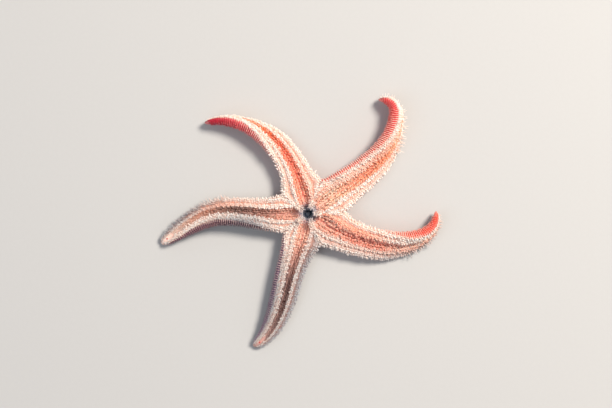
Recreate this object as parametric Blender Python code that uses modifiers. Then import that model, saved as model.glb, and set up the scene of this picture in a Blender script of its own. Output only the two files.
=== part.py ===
"""A common starfish lying on its back: disc, mouth, jaws, tube feet and five arms in lengths.

It is modelled at life size in metres. The origin is on the ground under the mouth, +Z is up towards
the mouth side, and the back is pressed flat where it rests. The solids reach to the tips of the spines.
"""

import bmesh
import bpy
import numpy as np
from math import atan2, cos, pi, radians, sin
from mathutils import Vector

for old_object in list(bpy.data.objects):
    bpy.data.objects.remove(old_object)

# ---- Driving sizes, in millimetres and degrees ----
MM = 0.001
CUT = 0.3  # width of the thin cuts that part the body, and the clearance between pieces

# The notches between the arms: bearing from +X, and distance from the mouth. Arm a follows the first.
NOTCHES = ((69.6, 16.3), (146.2, 14.8), (217.3, 14.4), (290.0, 15.4), (362.0, 16.8))

# Each arm starts on the line between its two notches. Headings and rolls are read at equal steps from
# its root to its tip. A roll above 0 leans the mouth side to the arm's own right.
ARMS = {
    "a": {
        "length": 56.0,
        "girth": 0.93,
        "tip_lift": 3.0,
        "headings": (109, 119, 134, 152, 175, 204),
        "rolls": (4, 20, 70, 84),
    },
    "b": {
        "length": 55.8,
        "girth": 1.00,
        "tip_lift": 1.5,
        "headings": (183, 174, 180, 202, 215, 216),
        "rolls": (6, 26, 32, 12),
    },
    "c": {
        "length": 51.5,
        "girth": 0.98,
        "tip_lift": 1.5,
        "headings": (249, 252, 256, 251, 237, 210),
        "rolls": (-10, -16, -18, -20),
    },
    "d": {
        "length": 54.5,
        "girth": 1.05,
        "tip_lift": 3.0,
        "headings": (332, 342, 353, 371, 402, 467),
        "rolls": (2, 8, 55, 84),
    },
    "e": {
        "length": 59.5,
        "girth": 1.10,
        "tip_lift": 3.0,
        "headings": (35, 36, 45, 67, 99, 200),
        "rolls": (14, 30, 72, 84),
    },
}

# The body's section. Heights are for an arm of half width FULL_HALF, and scale with the arm.
FULL_HALF = 7.0
ROOT_HALF = 8.2  # half width of every arm at its root, before the web to the next arm
TAPER = (ROOT_HALF, 7.1, 6.6, 5.9, 4.4, 1.9)  # half width at equal steps from root to tip
WEB_REACH = 3.0  # how far the web between two arms fades along them
BACK_DEPTH = 0.78  # depth of the back below the margins, as a share of the half width
PRESS = 0.4  # how much the ground flattens the back
TWIST_START = 8.0  # length at the root over which an arm takes up its own heading and roll
TIP_ROUND = 3.0  # length of the rounded tip
TIP_LEAST = 0.03  # share of the half width that is left at its very end
LIFT_START = 0.6  # share of the arm's length where the tip starts to lift
MARGIN = ((1.0, 0.0), (0.93, 1.5), (0.80, 2.1))  # shares of the half width, and heights
CHANNEL = (0.60, 1.7)  # the shallow channel inside the margin
RIDGE = {"offset": 1.0, "top": 2.7, "groove_side": 2.0}  # the ridge of spines beside the groove
GROOVE = {
    "half": 1.6,
    "floor": -1.0,
    "wall_share": 0.75,
    "wall_rise": 0.4,
    "closed": 2.3,  # height where the groove has run out
    "run_out": 6.0,
    "blind": 1.5,  # length of tip with no groove
    "most_of_wedge": 0.6,  # the most of the disc's wedge that it takes beside the mouth
}
BACK_POINTS = 7  # points across the back, between the margins

# Lengths that each arm is parted into, as shares of its length
PARTED = {"base": (0.0, 0.34, 7), "middle": (0.34, 0.67, 7), "end": (0.67, 0.955, 8)}

# The disc
DISC_STEPS = (1.0, 0.9, 0.76, 0.62, 0.48, 0.36, 0.27)  # shares of the way from the mouth to the arms
DISC_BACK_STEPS = (1.0, 0.8, 0.55, 0.3)
BACK_CREASE = 1.5  # how fast the creases between the arms fade towards the middle of the back
FLAT_UNTIL = 0.55  # share of the way out to which the mouth side is flat between the grooves
DISC_TOP = 2.5  # height of the mouth side above the margins
JAW_SEAT = 2.1  # height under the jaws
MOUTH_PIT = {"radius_share": 0.20, "floor": -1.4}

# The lip's outline: radius, and height above the floor of the mouth pit
MOUTH_LIP = ((2.0, 0.60), (1.7, 0.35), (0.9, 0.35), (0.7, 0.70), (1.0, 1.05), (1.4, 0.90))
JAW = {
    "inner": 1.9,  # distances of its ends from the mouth's axis
    "outer": 5.4,
    "inner_half": 0.45,
    "outer_half": 1.15,
    "inner_thick": 0.8,
    "outer_thick": 1.1,
    "rounding": 0.25,
}
FEET = {
    "start": 3.9,
    "disc_step": 2.1,
    "arm_step": 2.5,
    "stop_before_tip": 7.5,
    "crowns": (1.3, 1.5),
    "shoulder": 0.9,
    "side_share": 0.86,  # shares of the groove's half width
    "row_share": 0.55,
    "furrow_share": 0.5,
}
EYESPOT = {"radius": 0.42, "before_tip": 3.4}
SIEVE_PLATE = {"notch": 3, "share": 0.86, "radius": 1.0, "thick": 0.5, "rounding": 0.15}

COLOURS = {
    "body_wall": ((0.86, 0.66, 0.56), 0.55),
    "tube_feet": ((0.62, 0.26, 0.16), 0.40),
    "mouth_lip": ((0.10, 0.11, 0.15), 0.35),
    "ossicle": ((0.90, 0.82, 0.74), 0.60),
    "eyespot": ((0.55, 0.03, 0.02), 0.30),
}


# ---- Scene, materials and meshes ----
def make_material(name):
    colour, roughness = COLOURS[name]
    material = bpy.data.materials.new(name)
    material.use_nodes = True
    shader = material.node_tree.nodes["Principled BSDF"]
    shader.inputs["Base Color"].default_value = (*colour, 1.0)
    shader.inputs["Roughness"].default_value = roughness
    shader.inputs["Metallic"].default_value = 0.0
    return material


def add_object(name, mesh, material, collection):
    mesh.materials.append(material)
    obj = bpy.data.objects.new(name, mesh)
    collection.objects.link(obj)
    return obj


def move_to(obj, material, collection):
    """Give a primitive its material and put it in the starfish's collection."""
    obj.data.materials.append(material)
    for other in list(obj.users_collection):
        other.objects.unlink(obj)
    collection.objects.link(obj)


def mesh_of(name, build):
    """A mesh from build(bmesh), welded and with its faces pointing out."""
    shape = bmesh.new()
    build(shape)
    bmesh.ops.remove_doubles(shape, verts=shape.verts, dist=1e-6)
    bmesh.ops.recalc_face_normals(shape, faces=shape.faces)
    mesh = bpy.data.meshes.new(name)
    shape.to_mesh(mesh)
    shape.free()
    return mesh


def loft(name, rings, close_to_point=None):
    """A closed loft through rings of equal count, in millimetres. It ends in a flat cap or at a point."""

    def build(shape):
        rows = [[shape.verts.new(Vector(p) * MM) for p in ring] for ring in rings]
        count = len(rows[0])
        for low, high in zip(rows, rows[1:]):
            for i in range(count):
                j = (i + 1) % count
                shape.faces.new((low[i], low[j], high[j], high[i]))
        shape.faces.new(rows[0])
        if close_to_point is None:
            shape.faces.new(rows[-1])
            return
        end = shape.verts.new(Vector(close_to_point) * MM)
        for i in range(count):
            shape.faces.new((rows[-1][i], rows[-1][(i + 1) % count], end))

    return mesh_of(name, build)


# ---- The shape of the body ----
def along(values, share):
    """A smooth curve through values at equal steps, read at share from 0 to 1."""
    last = len(values) - 1
    place = min(max(share, 0.0), 1.0) * last
    i = min(int(place), last - 1)
    f = place - i
    ends = [2 * values[0] - values[1], *values, 2 * values[-1] - values[-2]]
    a, b, c, d = ends[i : i + 4]
    return 0.5 * (2 * b + (c - a) * f + (2 * a - 5 * b + 4 * c - d) * f**2 + (3 * (b - c) + d - a) * f**3)


def ease(x):
    x = min(max(x, 0.0), 1.0)
    return x * x * (3 - 2 * x)


def bearing_point(bearing, distance):
    return np.array([cos(radians(bearing)), sin(radians(bearing))]) * distance


NOTCH_POINTS = [bearing_point(*notch) for notch in NOTCHES]


def groove_half(arm_half):
    return GROOVE["half"] * (arm_half / FULL_HALF) ** 0.5


def oral_profile(half, arm_half, groove=1.0):
    """Points across the mouth side, from the left margin to the right one: (sideways, height).

    They are the margin, the marginal ridge, a channel, the ridge of spines beside the groove, and the
    groove itself, whose depth fades as groove goes from 1 to 0.
    """
    k = arm_half / FULL_HALF
    lip = groove_half(arm_half)
    floor = (1 - groove) * GROOVE["closed"] + groove * GROOVE["floor"]
    wall = floor + groove * GROOVE["wall_rise"]
    left = [(share * half, height * k) for share, height in (*MARGIN, CHANNEL)]
    left += [
        (lip + RIDGE["offset"] * k, RIDGE["top"] * k),
        (lip, RIDGE["groove_side"] * k),
        (GROOVE["wall_share"] * lip, wall * k),
    ]
    return left + [(0.0, floor * k)] + [(-x, y) for x, y in reversed(left)]


def back_profile(half, arm_half):
    """Points across the back, from the right margin to the left one, without the margins."""
    turns = [pi * (i + 1) / (BACK_POINTS + 1) for i in range(BACK_POINTS)]
    return [(-half * cos(t), -BACK_DEPTH * arm_half * sin(t)) for t in turns]


class Arm:
    """One arm's centreline, and the body's section anywhere along it. Lengths are from its root."""

    STEPS = 400

    def __init__(self, name):
        facts = ARMS[name]
        index = list(ARMS).index(name)
        right, left = NOTCH_POINTS[index], NOTCH_POINTS[(index + 1) % len(NOTCHES)]
        self.name = name
        self.facts = facts
        self.length = facts["length"]
        self.root = (right + left) / 2
        self.to_left = left - self.root
        self.root_half = float(np.linalg.norm(self.to_left))
        first = radians(facts["headings"][0])
        normal = atan2(-self.to_left[0], self.to_left[1])
        self.root_turn = (normal - first + pi) % (2 * pi) - pi
        self.points = self.walk()

    def heading(self, s):
        return radians(along(self.facts["headings"], s / self.length))

    def walk(self):
        """The centreline on the ground, in small steps."""
        step = self.length / self.STEPS
        points = [self.root]
        for i in range(self.STEPS):
            turn = self.heading((i + 0.5) * step)
            points.append(points[-1] + step * np.array([cos(turn), sin(turn)]))
        return np.array(points)

    def place(self, s):
        at = s / self.length * self.STEPS
        return np.array([np.interp(at, range(self.STEPS + 1), self.points[:, i]) for i in (0, 1)])

    def arm_half(self, s):
        taper = along(TAPER, s / self.length)
        girth = 1 + (self.facts["girth"] - 1) * ease(s / TWIST_START)
        to_end = min(max((self.length - s) / TIP_ROUND, 0.0), 1.0)
        return taper * girth * max(1 - (1 - to_end) ** 2, TIP_LEAST**2) ** 0.5

    def half(self, s):
        return self.arm_half(s) + (self.root_half - ROOT_HALF) * np.exp(-s / WEB_REACH)

    def frame(self, s):
        """The directions of the arm's left side and of its mouth side."""
        settled = ease(s / TWIST_START)
        plane = self.heading(s) + self.root_turn * (1 - settled)
        roll = radians(along(self.facts["rolls"], s / self.length)) * settled
        level_left = np.array([-sin(plane), cos(plane), 0.0])
        up = np.array([0.0, 0.0, 1.0])
        left = cos(roll) * level_left + sin(roll) * up
        oral = cos(roll) * up - sin(roll) * level_left
        return left, oral

    def profile(self, s):
        groove = ease((self.length - s - GROOVE["blind"]) / GROOVE["run_out"])
        half, arm_half = self.half(s), self.arm_half(s)
        return oral_profile(half, arm_half, groove) + back_profile(half, arm_half)

    def height(self, s):
        """Height of the margins' middle, where the arm presses on the ground or lifts off it."""
        left, oral = self.frame(s)
        reach = -min(x * left[2] + y * oral[2] for x, y in self.profile(s))
        lift = self.facts["tip_lift"] * ease((s / self.length - LIFT_START) / (1 - LIFT_START))
        return reach - PRESS + lift

    def world(self, s, offsets):
        """Offsets (sideways, up) at s as points in space, no lower than the ground."""
        left, oral = self.frame(s)
        base = np.array([*self.place(s), self.height(s)])
        points = [base + x * left + y * oral for x, y in offsets]
        return [np.array([p[0], p[1], max(p[2], 0.0)]) for p in points]

    def ring(self, s):
        return self.world(s, self.profile(s))


ARM_LIST = [Arm(arm_name) for arm_name in ARMS]
LEVEL = ARM_LIST[0].height(0.0)  # height of the disc's margins


def make_arm_lengths(arm, material, collection):
    """The lengths that an arm is parted into, each a closed loft between two thin cuts."""
    for part_name, (start, stop, bands) in PARTED.items():
        low = max(start * arm.length + CUT / 2, CUT)
        high = stop * arm.length - CUT / 2
        rings = [arm.ring(s) for s in np.linspace(low, high, bands + 1)]
        name = f"arm_{arm.name}_{part_name}"
        add_object(name, loft(name, rings), material, collection)


def make_arm_tip(arm, material, collection):
    """The plate that closes the tip, rounded off to a point."""
    low = PARTED["end"][1] * arm.length + CUT / 2
    reach = arm.length - low
    rings = [arm.ring(low + reach * share) for share in (0.0, 0.45, 0.8)]
    name = f"arm_{arm.name}_tip"
    end = arm.world(arm.length, [(0.0, 0.0)])[0]
    add_object(name, loft(name, rings, close_to_point=end), material, collection)


# ---- The disc ----
def disc_oral_row(arm, share):
    """The disc's mouth side in one arm's wedge, at a share of the way from the mouth to the arm's root."""
    edge = oral_profile(arm.root_half, ROOT_HALF)
    wedge = share * arm.root_half
    lip_at_edge = groove_half(ROOT_HALF)
    lip = min(lip_at_edge, GROOVE["most_of_wedge"] * wedge)
    settled = ease((share - FLAT_UNTIL) / (1 - FLAT_UNTIL))
    row = []
    for x, y in edge:
        if abs(x) > lip_at_edge:
            spread = (abs(x) - lip_at_edge) / (arm.root_half - lip_at_edge)
            side = lip + spread * (wedge - lip)
            seat = DISC_TOP if share > FLAT_UNTIL else JAW_SEAT
            top = y + (seat - y) * (1 - settled)
        else:
            side = abs(x) * lip / lip_at_edge
            top = min(y, JAW_SEAT)
        plan = share * arm.root + arm.to_left * side / arm.root_half * np.sign(x)
        row.append(np.array([*plan, LEVEL + top]))
    return row


def back_height(share, side):
    """Height of the disc's back at a share of the way out, and side of the way to the arm's left notch."""
    crease = abs(side) * share ** (BACK_CREASE - 1)
    depth = BACK_DEPTH * ROOT_HALF * (1 - crease**2) ** 0.5
    return max(LEVEL - depth, 0.0)


def disc_back_row(arm, share):
    """The disc's back in one arm's wedge, including both margins, from right to left."""
    turns = [pi * i / (BACK_POINTS + 1) for i in range(BACK_POINTS + 2)]
    row = []
    for t in turns:
        plan = share * (arm.root - arm.to_left * cos(t))
        row.append(np.array([*plan, back_height(share, -share * cos(t))]))
    return row


def make_disc(material, collection):
    """The central disc: a mouth side with five grooves, a back, and a flat side for each arm."""
    pit = MOUTH_PIT["radius_share"]
    pit_floor = LEVEL + MOUTH_PIT["floor"]

    def build(shape):
        def vert(p):
            return shape.verts.new(Vector(p) * MM)

        middle_top = (0.0, 0.0, pit_floor)
        middle_back = (0.0, 0.0, 0.0)
        for arm in ARM_LIST:
            top = [disc_oral_row(arm, share) for share in DISC_STEPS]
            top.append([np.array([p[0], p[1], pit_floor]) for p in disc_oral_row(arm, pit)])
            back = [disc_back_row(arm, share) for share in DISC_BACK_STEPS]
            for rows, middle in ((top, middle_top), (back, middle_back)):
                for outer, inner in zip(rows, rows[1:]):
                    for i in range(len(outer) - 1):
                        corners = (outer[i], outer[i + 1], inner[i + 1], inner[i])
                        shape.faces.new([vert(p) for p in corners])
                for p, q in zip(rows[-1], rows[-1][1:]):
                    shape.faces.new([vert(p), vert(q), vert(middle)])
            shape.faces.new([vert(p) for p in top[0] + back[0][1:-1]])

    add_object("disc", mesh_of("disc", build), material, collection)


# ---- Mouth, jaws, tube feet, eyespots and sieve plate ----
def make_mouth(material, collection):
    """The soft lip round the mouth: a rounded ring turned about the mouth's axis."""
    floor = LEVEL + MOUTH_PIT["floor"]
    shape = bmesh.new()
    verts = [shape.verts.new((x * MM, 0.0, (floor + z) * MM)) for x, z in MOUTH_LIP]
    for i, v in enumerate(verts):
        shape.edges.new((v, verts[(i + 1) % len(verts)]))
    mesh = bpy.data.meshes.new("mouth")
    shape.to_mesh(mesh)
    shape.free()
    obj = add_object("mouth", mesh, material, collection)
    screw = obj.modifiers.new("turned", "SCREW")
    screw.axis = "Z"
    screw.steps = 16
    screw.render_steps = 16
    screw.use_merge_vertices = True
    screw.merge_threshold = 0.00001
    screw.use_normal_calculate = True


def make_jaw(index, material, collection):
    """The plate between two arms at the mouth, with its narrow end over the mouth."""
    names = list(ARMS)
    name = f"jaw_{names[index - 1]}{names[index]}"
    bearing = NOTCHES[index][0]
    seat = LEVEL + JAW_SEAT + CUT
    bpy.ops.mesh.primitive_cube_add(size=2.0, location=(0.0, 0.0, 0.0))
    obj = bpy.context.object
    obj.name = name
    middle = (JAW["inner"] + JAW["outer"]) / 2
    for v in obj.data.vertices:
        end = "outer" if v.co.x > 0 else "inner"
        top = JAW[end + "_thick"] if v.co.z > 0 else 0.0
        v.co = Vector((JAW[end] - middle, v.co.y * JAW[end + "_half"], top)) * MM
    at = bearing_point(bearing, middle) * MM
    obj.location = (at[0], at[1], seat * MM)
    obj.rotation_euler = (0.0, 0.0, radians(bearing))
    rounding = obj.modifiers.new("rounding", "BEVEL")
    rounding.width = JAW["rounding"] * MM
    rounding.segments = 1
    move_to(obj, material, collection)


def feet_offsets(arm_half, crown):
    """The bank of tube feet across the groove: flat below, with two rows of feet and a furrow above."""
    k = arm_half / FULL_HALF
    low = (GROOVE["floor"] + GROOVE["wall_rise"]) * k + CUT
    foot = GROOVE["wall_share"] * groove_half(arm_half) - CUT
    side = FEET["side_share"] * groove_half(arm_half) - CUT
    right = [(foot, low), (side, FEET["shoulder"] * k), (FEET["row_share"] * side, crown * k)]
    return right + [(0.0, FEET["furrow_share"] * crown * k)] + [(-x, y) for x, y in reversed(right)]


def make_tube_feet(arm, material, collection):
    """The tube feet of one arm, from beside the mouth to near the tip, as one bank in its groove."""
    rings = []
    apothem = float(np.linalg.norm(arm.root))
    sideways = arm.to_left / arm.root_half
    lip = groove_half(ROOT_HALF)
    for i, reach in enumerate(np.arange(FEET["start"], apothem, FEET["disc_step"])):
        share = reach / apothem
        narrow = min(1.0, GROOVE["most_of_wedge"] * share * arm.root_half / lip)
        offsets = feet_offsets(ROOT_HALF, FEET["crowns"][i % 2])
        plan = share * arm.root
        rings.append([np.array([*(plan + sideways * x * narrow), LEVEL + y]) for x, y in offsets])
    for i, s in enumerate(np.arange(CUT, arm.length - FEET["stop_before_tip"], FEET["arm_step"])):
        rings.append(arm.world(s, feet_offsets(arm.arm_half(s), FEET["crowns"][i % 2])))
    name = f"tube_feet_{arm.name}"
    add_object(name, loft(name, rings), material, collection)


def make_eyespot(arm, material, collection):
    """The red eyespot at the end of the groove."""
    s = arm.length - EYESPOT["before_tip"]
    top = arm.profile(s)[7][1]
    centre = arm.world(s, [(0.0, top + EYESPOT["radius"] + CUT)])[0]
    bpy.ops.mesh.primitive_uv_sphere_add(
        segments=8, ring_count=5, radius=EYESPOT["radius"] * MM, location=tuple(centre * MM)
    )
    obj = bpy.context.object
    obj.name = f"eyespot_{arm.name}"
    obj.data.shade_smooth()
    move_to(obj, material, collection)


def back_height_over(plan):
    """Height of the disc's back over a point on the ground."""
    for arm in ARM_LIST:
        share, side = np.linalg.solve(np.array([arm.root, arm.to_left]).T, plan)
        if abs(side) <= share:
            return back_height(share, side)
    return LEVEL


def make_sieve_plate(material, collection):
    """The madreporite: a small button on the back, between two arms."""
    bearing, reach = NOTCHES[SIEVE_PLATE["notch"]]
    middle = bearing_point(bearing, SIEVE_PLATE["share"] * reach)
    outward = bearing_point(bearing, 1.0)
    radius = SIEVE_PLATE["radius"]
    rise = back_height_over(middle + radius * outward) - back_height_over(middle - radius * outward)
    slope = rise / (2 * radius)
    normal = np.array([*(slope * outward), -1.0])
    normal = normal / np.linalg.norm(normal)
    poke = 0.0
    for turn in range(0, 360, 15):
        rim = bearing_point(turn, radius)
        level = back_height_over(middle) + slope * float(rim @ outward)
        poke = max(poke, level - back_height_over(middle + rim))
    surface = np.array([*middle, back_height_over(middle) - poke])
    centre = surface + normal * (CUT + SIEVE_PLATE["thick"] / 2)
    bpy.ops.mesh.primitive_cylinder_add(
        vertices=20, radius=radius * MM, depth=SIEVE_PLATE["thick"] * MM
    )
    obj = bpy.context.object
    obj.name = "sieve_plate"
    obj.location = Vector(centre) * MM
    obj.rotation_mode = "QUATERNION"
    obj.rotation_quaternion = Vector(normal).to_track_quat("Z", "Y")
    rounding = obj.modifiers.new("rounding", "BEVEL")
    rounding.width = SIEVE_PLATE["rounding"] * MM
    rounding.segments = 1
    move_to(obj, material, collection)


# ---- Build ----
materials = {key: make_material(key) for key in COLOURS}
starfish = bpy.data.collections.new("starfish")
bpy.context.scene.collection.children.link(starfish)

make_disc(materials["body_wall"], starfish)
make_mouth(materials["mouth_lip"], starfish)
make_sieve_plate(materials["ossicle"], starfish)
for notch_index in range(len(NOTCHES)):
    make_jaw(notch_index, materials["ossicle"], starfish)
for one_arm in ARM_LIST:
    make_arm_lengths(one_arm, materials["body_wall"], starfish)
    make_arm_tip(one_arm, materials["body_wall"], starfish)
    make_tube_feet(one_arm, materials["tube_feet"], starfish)
    make_eyespot(one_arm, materials["eyespot"], starfish)
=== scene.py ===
import math

import bmesh
import bpy
import numpy as np
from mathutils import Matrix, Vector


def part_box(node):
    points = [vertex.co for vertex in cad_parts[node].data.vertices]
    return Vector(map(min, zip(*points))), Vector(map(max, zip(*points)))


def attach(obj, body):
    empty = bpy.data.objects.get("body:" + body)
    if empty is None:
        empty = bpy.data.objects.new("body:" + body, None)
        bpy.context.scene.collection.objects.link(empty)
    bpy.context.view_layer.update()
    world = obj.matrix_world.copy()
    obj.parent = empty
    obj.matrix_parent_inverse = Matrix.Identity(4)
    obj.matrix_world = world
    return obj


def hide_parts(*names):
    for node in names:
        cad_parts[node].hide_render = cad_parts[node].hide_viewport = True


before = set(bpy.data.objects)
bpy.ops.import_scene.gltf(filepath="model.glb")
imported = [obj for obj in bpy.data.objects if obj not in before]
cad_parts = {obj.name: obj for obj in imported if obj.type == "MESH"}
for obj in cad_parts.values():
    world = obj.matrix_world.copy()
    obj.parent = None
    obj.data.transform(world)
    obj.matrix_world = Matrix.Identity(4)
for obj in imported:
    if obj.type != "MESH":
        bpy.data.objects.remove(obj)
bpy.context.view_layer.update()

mm = 0.001
armNames = "abcde"

# the body's shape in millimetres and degrees: the solids' own sizes, which the skin follows more finely
body = {
    "notches": ((69.6, 16.3), (146.2, 14.8), (217.3, 14.4), (290.0, 15.4), (362.0, 16.8)),
    "fullHalf": 7.0,
    "rootHalf": 8.2,
    "taper": (8.2, 7.1, 6.6, 5.9, 4.4, 1.9),
    "webReach": 3.0,
    "backDepth": 0.78,
    "press": 0.4,
    "twistStart": 8.0,
    "tipRound": 3.0,
    "liftStart": 0.6,
    "grooveHalf": 1.6,
    "grooveRunOut": 6.0,
    "grooveBlind": 1.5,
    "grooveFlare": 0.38,
    "flareReach": 14.0,
}
armShapes = {
    "a": dict(length=56.0, girth=0.93, lift=3.0, headings=(109, 119, 134, 152, 175, 204),
              rolls=(4, 20, 70, 84), redSide=1, redReach=(0.1, 0.3, 0.9, 3.6), grooveWide=1.0),
    "b": dict(length=55.8, girth=1.00, lift=1.5, headings=(183, 174, 180, 202, 215, 216),
              rolls=(6, 26, 32, 12), redSide=1, redReach=(0.8, 2.2, 2.7, 1.8), grooveWide=0.95),
    "c": dict(length=51.5, girth=0.98, lift=1.5, headings=(249, 252, 256, 251, 237, 210),
              rolls=(-10, -16, -18, -20), redSide=-1, redReach=(1.4, 2.2, 2.2, 1.4), grooveWide=0.95),
    "d": dict(length=54.5, girth=1.05, lift=3.0, headings=(332, 342, 353, 371, 402, 467),
              rolls=(2, 8, 55, 84), redSide=1, redReach=(0.1, 0.1, 1.3, 4.5), grooveWide=1.3),
    "e": dict(length=59.5, girth=1.10, lift=3.0, headings=(35, 36, 45, 67, 99, 200),
              rolls=(14, 30, 72, 84), redSide=1, redReach=(2.0, 1.2, 0.2, 1.5), grooveWide=1.12),
}
# how the skin is drawn in from the spine tips, and how finely it is meshed
skin = {
    "notchInset": 0.9,
    "sideShare": 0.88,
    "backShare": 0.75,
    "grooveFloor": -0.55,
    "grooveMost": 0.34,
    "closedHeight": 1.3,
    "rowPitch": 0.98,
    "stationsPerRow": 5,
    "discRows": (46, 20),
    "hub": 0.02,
    "ribHeight": 0.09,
    "ribStart": 2.0,
    "lowest": 0.05,
}
# the disc: how much of a wedge the groove and its ridge may fill, where the jaws' seat is level, the pit
# round the mouth and the hole in it, the colours in its middle, and how much painted shade it carries
disc = {
    "lipMost": 0.62,
    "ridgeMost": 0.94,
    "seat": 1.35,
    "seatStart": 0.5,
    "pitStart": 0.31,
    "pitRun": 0.11,
    "pitDepth": 1.35,
    "holeStart": 0.15,
    "holeRun": 0.08,
    "holeDepth": 1.3,
    "shade": 0.2,
    "back": "B04A50",
    "groove": "E8A28A",
}
# colours along each arm's groove from the mouth to the tip, and of its back, where the darker, purpler
# grooves and backs of b and c are partly their own colour and partly painted shade; shade is how much
# painted shade, cool and grey, the arm's left and right halves carry from the disc to the tip, flesh how
# peach-coloured, rows how pale the rows across its back are near the disc and near the tip (dimmer on b,
# partly painted shade), and tip colours the plate that caps its end
armColours = {
    "a": dict(
        groove=("FC9070", "FF7048", "FFA078", "FCE0CC"), back=("C04C58", "EC4050", "B40828"), tip="D04C58",
        shade=((0.1, 0, 0, 0, 0), (0, 0, 0, 0, 0)), rows=(0.7, 0),
        flesh=((0, 0, 0, 0, 0.4), (0.5, 0.4, 0, 0.1, 0.1)),
    ),
    "b": dict(
        groove=("D48870", "643020", "CC927A", "F6E2D2"), back=("7A3A50", "5C1C44", "5C2044"), tip="E4CCC0",
        shade=((0.15, 0.9, 0.5, 0.1, 0.3), (0, 0.2, 0.4, 0.85, 0.65)), rows=(0.45, 0.15),
        flesh=((0, 0, 0, 0, 0), (0, 0.3, 0.7, 0.1, 0)),
    ),
    "c": dict(
        groove=("FFB298", "6E362C", "663A34", "B88A7E"), back=("8A4A74", "7C5080", "7C5C90"), tip="D4C4BC",
        shade=((0.6, 0.9, 0.95, 1.0, 0.75), (0.1, 0.6, 0.85, 0.85, 0.45)), rows=(0.6, 0.45),
        flesh=((0.2, 0, 0, 0, 0), (0.1, 0.1, 0, 0, 0)),
    ),
    "d": dict(
        groove=("EC947C", "D87A64", "FFC0A8", "FFDCC8"), back=("C03C34", "E8503C", "F04C34"), tip="EC5844",
        shade=((0, 0, 0, 0, 0), (0.3, 0.35, 0.55, 0.6, 0.1)), rows=(1.0, 0.5),
        flesh=((0.9, 1.0, 0.25, 0.05, 0.3), (0.1, 0.35, 0.5, 0.8, 0.3)),
    ),
    "e": dict(
        groove=("FFBA9A", "F88E68", "F6B28C", "FCE4D0"), back=("E44840", "F4403C", "F03038"), tip="E84444",
        shade=((0, 0, 0, 0, 0), (0.05, 0, 0, 0, 0)), rows=(0.9, 0.35),
        flesh=((0.6, 0.6, 0.9, 0.1, 0), (0, 0, 0.4, 0, 0)),
    ),
}


def linear(code):
    # a hex colour as the linear values that shaders take
    parts = [int(code[i : i + 2], 16) / 255 for i in (0, 2, 4)]
    return tuple(p / 12.92 if p < 0.04045 else ((p + 0.055) / 1.055) ** 2.4 for p in parts)


def between(first, last, share):
    return first + (last - first) * share


def ease(x):
    x = np.clip(x, 0, 1)
    return x * x * (3 - 2 * x)


def rise(x, start, reach):
    # 0 up to start, and 1 from reach beyond it
    return ease((x - start) / reach)


def unit(vectors):
    return vectors / np.maximum(np.linalg.norm(vectors, axis=-1, keepdims=True), 1e-9)


def bearing(degrees, distance=1.0):
    turn = math.radians(degrees)
    return np.array([math.cos(turn), math.sin(turn)]) * distance


def fullCircle(count):
    return np.linspace(0, 2 * math.pi, count + 1)[:-1]


def raised(plan, height):
    # points in the plan with their heights
    return np.concatenate([plan, height[..., None]], -1)


def smoothly(a, b, c, d, f):
    # the curve from b to c that also meets its neighbours a and d
    return 0.5 * (2 * b + (c - a) * f + (2 * a - 5 * b + 4 * c - d) * f**2 + (3 * (b - c) + d - a) * f**3)


def along(values, share):
    # a smooth curve through values at equal steps; share is an array from 0 to 1
    values = np.asarray(values, float)
    ends = np.concatenate([[2 * values[0] - values[1]], values, [2 * values[-1] - values[-2]]])
    place = np.clip(share, 0, 1) * (len(values) - 1)
    i = np.minimum(place.astype(int), len(values) - 2)
    return smoothly(ends[i], ends[i + 1], ends[i + 2], ends[i + 3], place - i)


def colourAlong(codes, share):
    return np.stack([along(channel, share) for channel in zip(*map(linear, codes))], -1)


def around(points, c):
    # the closed section read at c, which is 0 in the groove, 11 at a margin and 16 at the back's middle
    rows, count = points.shape[:2]
    place = np.broadcast_to((np.asarray(c, float) + 16) % count, (rows, np.shape(c)[-1]))
    i = np.floor(place).astype(int)
    each = np.arange(rows)[:, None]
    return smoothly(*(points[each, (i + n) % count] for n in (-1, 0, 1, 2)), (place - i)[..., None])


def centred(c):
    return (np.asarray(c, float) + 16) % 32 - 16


def grooveFlare(q):
    # the groove and its feet grow wider towards the mouth
    return 1 + body["grooveFlare"] * np.exp(-np.maximum(q, 0) / body["flareReach"])


def grooveHalf(q, armHalf, sideHalf, wide):
    half = body["grooveHalf"] * wide * grooveFlare(q) * np.sqrt(armHalf / body["fullHalf"])
    return np.minimum(half, skin["grooveMost"] * sideHalf)


def sectionPoints(q, sideHalf, armHalf, groove, wide):
    # control points round the body, as (sideways, up), from the middle of the back over the left margin,
    # the mouth side and the right margin, back to the middle of the back
    k = armHalf / body["fullHalf"]
    lip = grooveHalf(q, armHalf, sideHalf, wide)
    step = np.minimum(k, 0.15 * sideHalf)
    floor = skin["grooveFloor"]

    def deep(height):
        return between(skin["closedHeight"], height, groove) * k

    side = [
        (0 * lip, deep(floor + 0.12)),
        (0.42 * lip, deep(floor)),
        (0.82 * lip, deep(floor + 0.75)),
        (1.02 * lip, deep(0.55)),
        (lip + 0.42 * step, 1.28 * k),
        (lip + 1.0 * step, 1.48 * k),
        (lip + 1.6 * step, 1.05 * k),
        (0.62 * sideHalf, 0.80 * k),
        (0.74 * sideHalf, 1.15 * k),
        (0.86 * sideHalf, 1.22 * k),
        (0.965 * sideHalf, 0.66 * k),
        (1.0 * sideHalf, 0.0 * k),
    ]
    depth = skin["backShare"] * armHalf
    for turn in (18, 36, 54, 72, 90):
        t = math.radians(turn)
        side.append((math.cos(t) * sideHalf, -math.sin(t) * depth))
    half = np.stack([np.stack(p, -1) for p in side], 1)  # stations x 17 x 2
    mirrored = half[:, ::-1] * np.array([-1.0, 1.0])
    return np.concatenate([mirrored[:, :-1], half[:, :-1]], 1)  # c from -16 to 15


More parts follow.
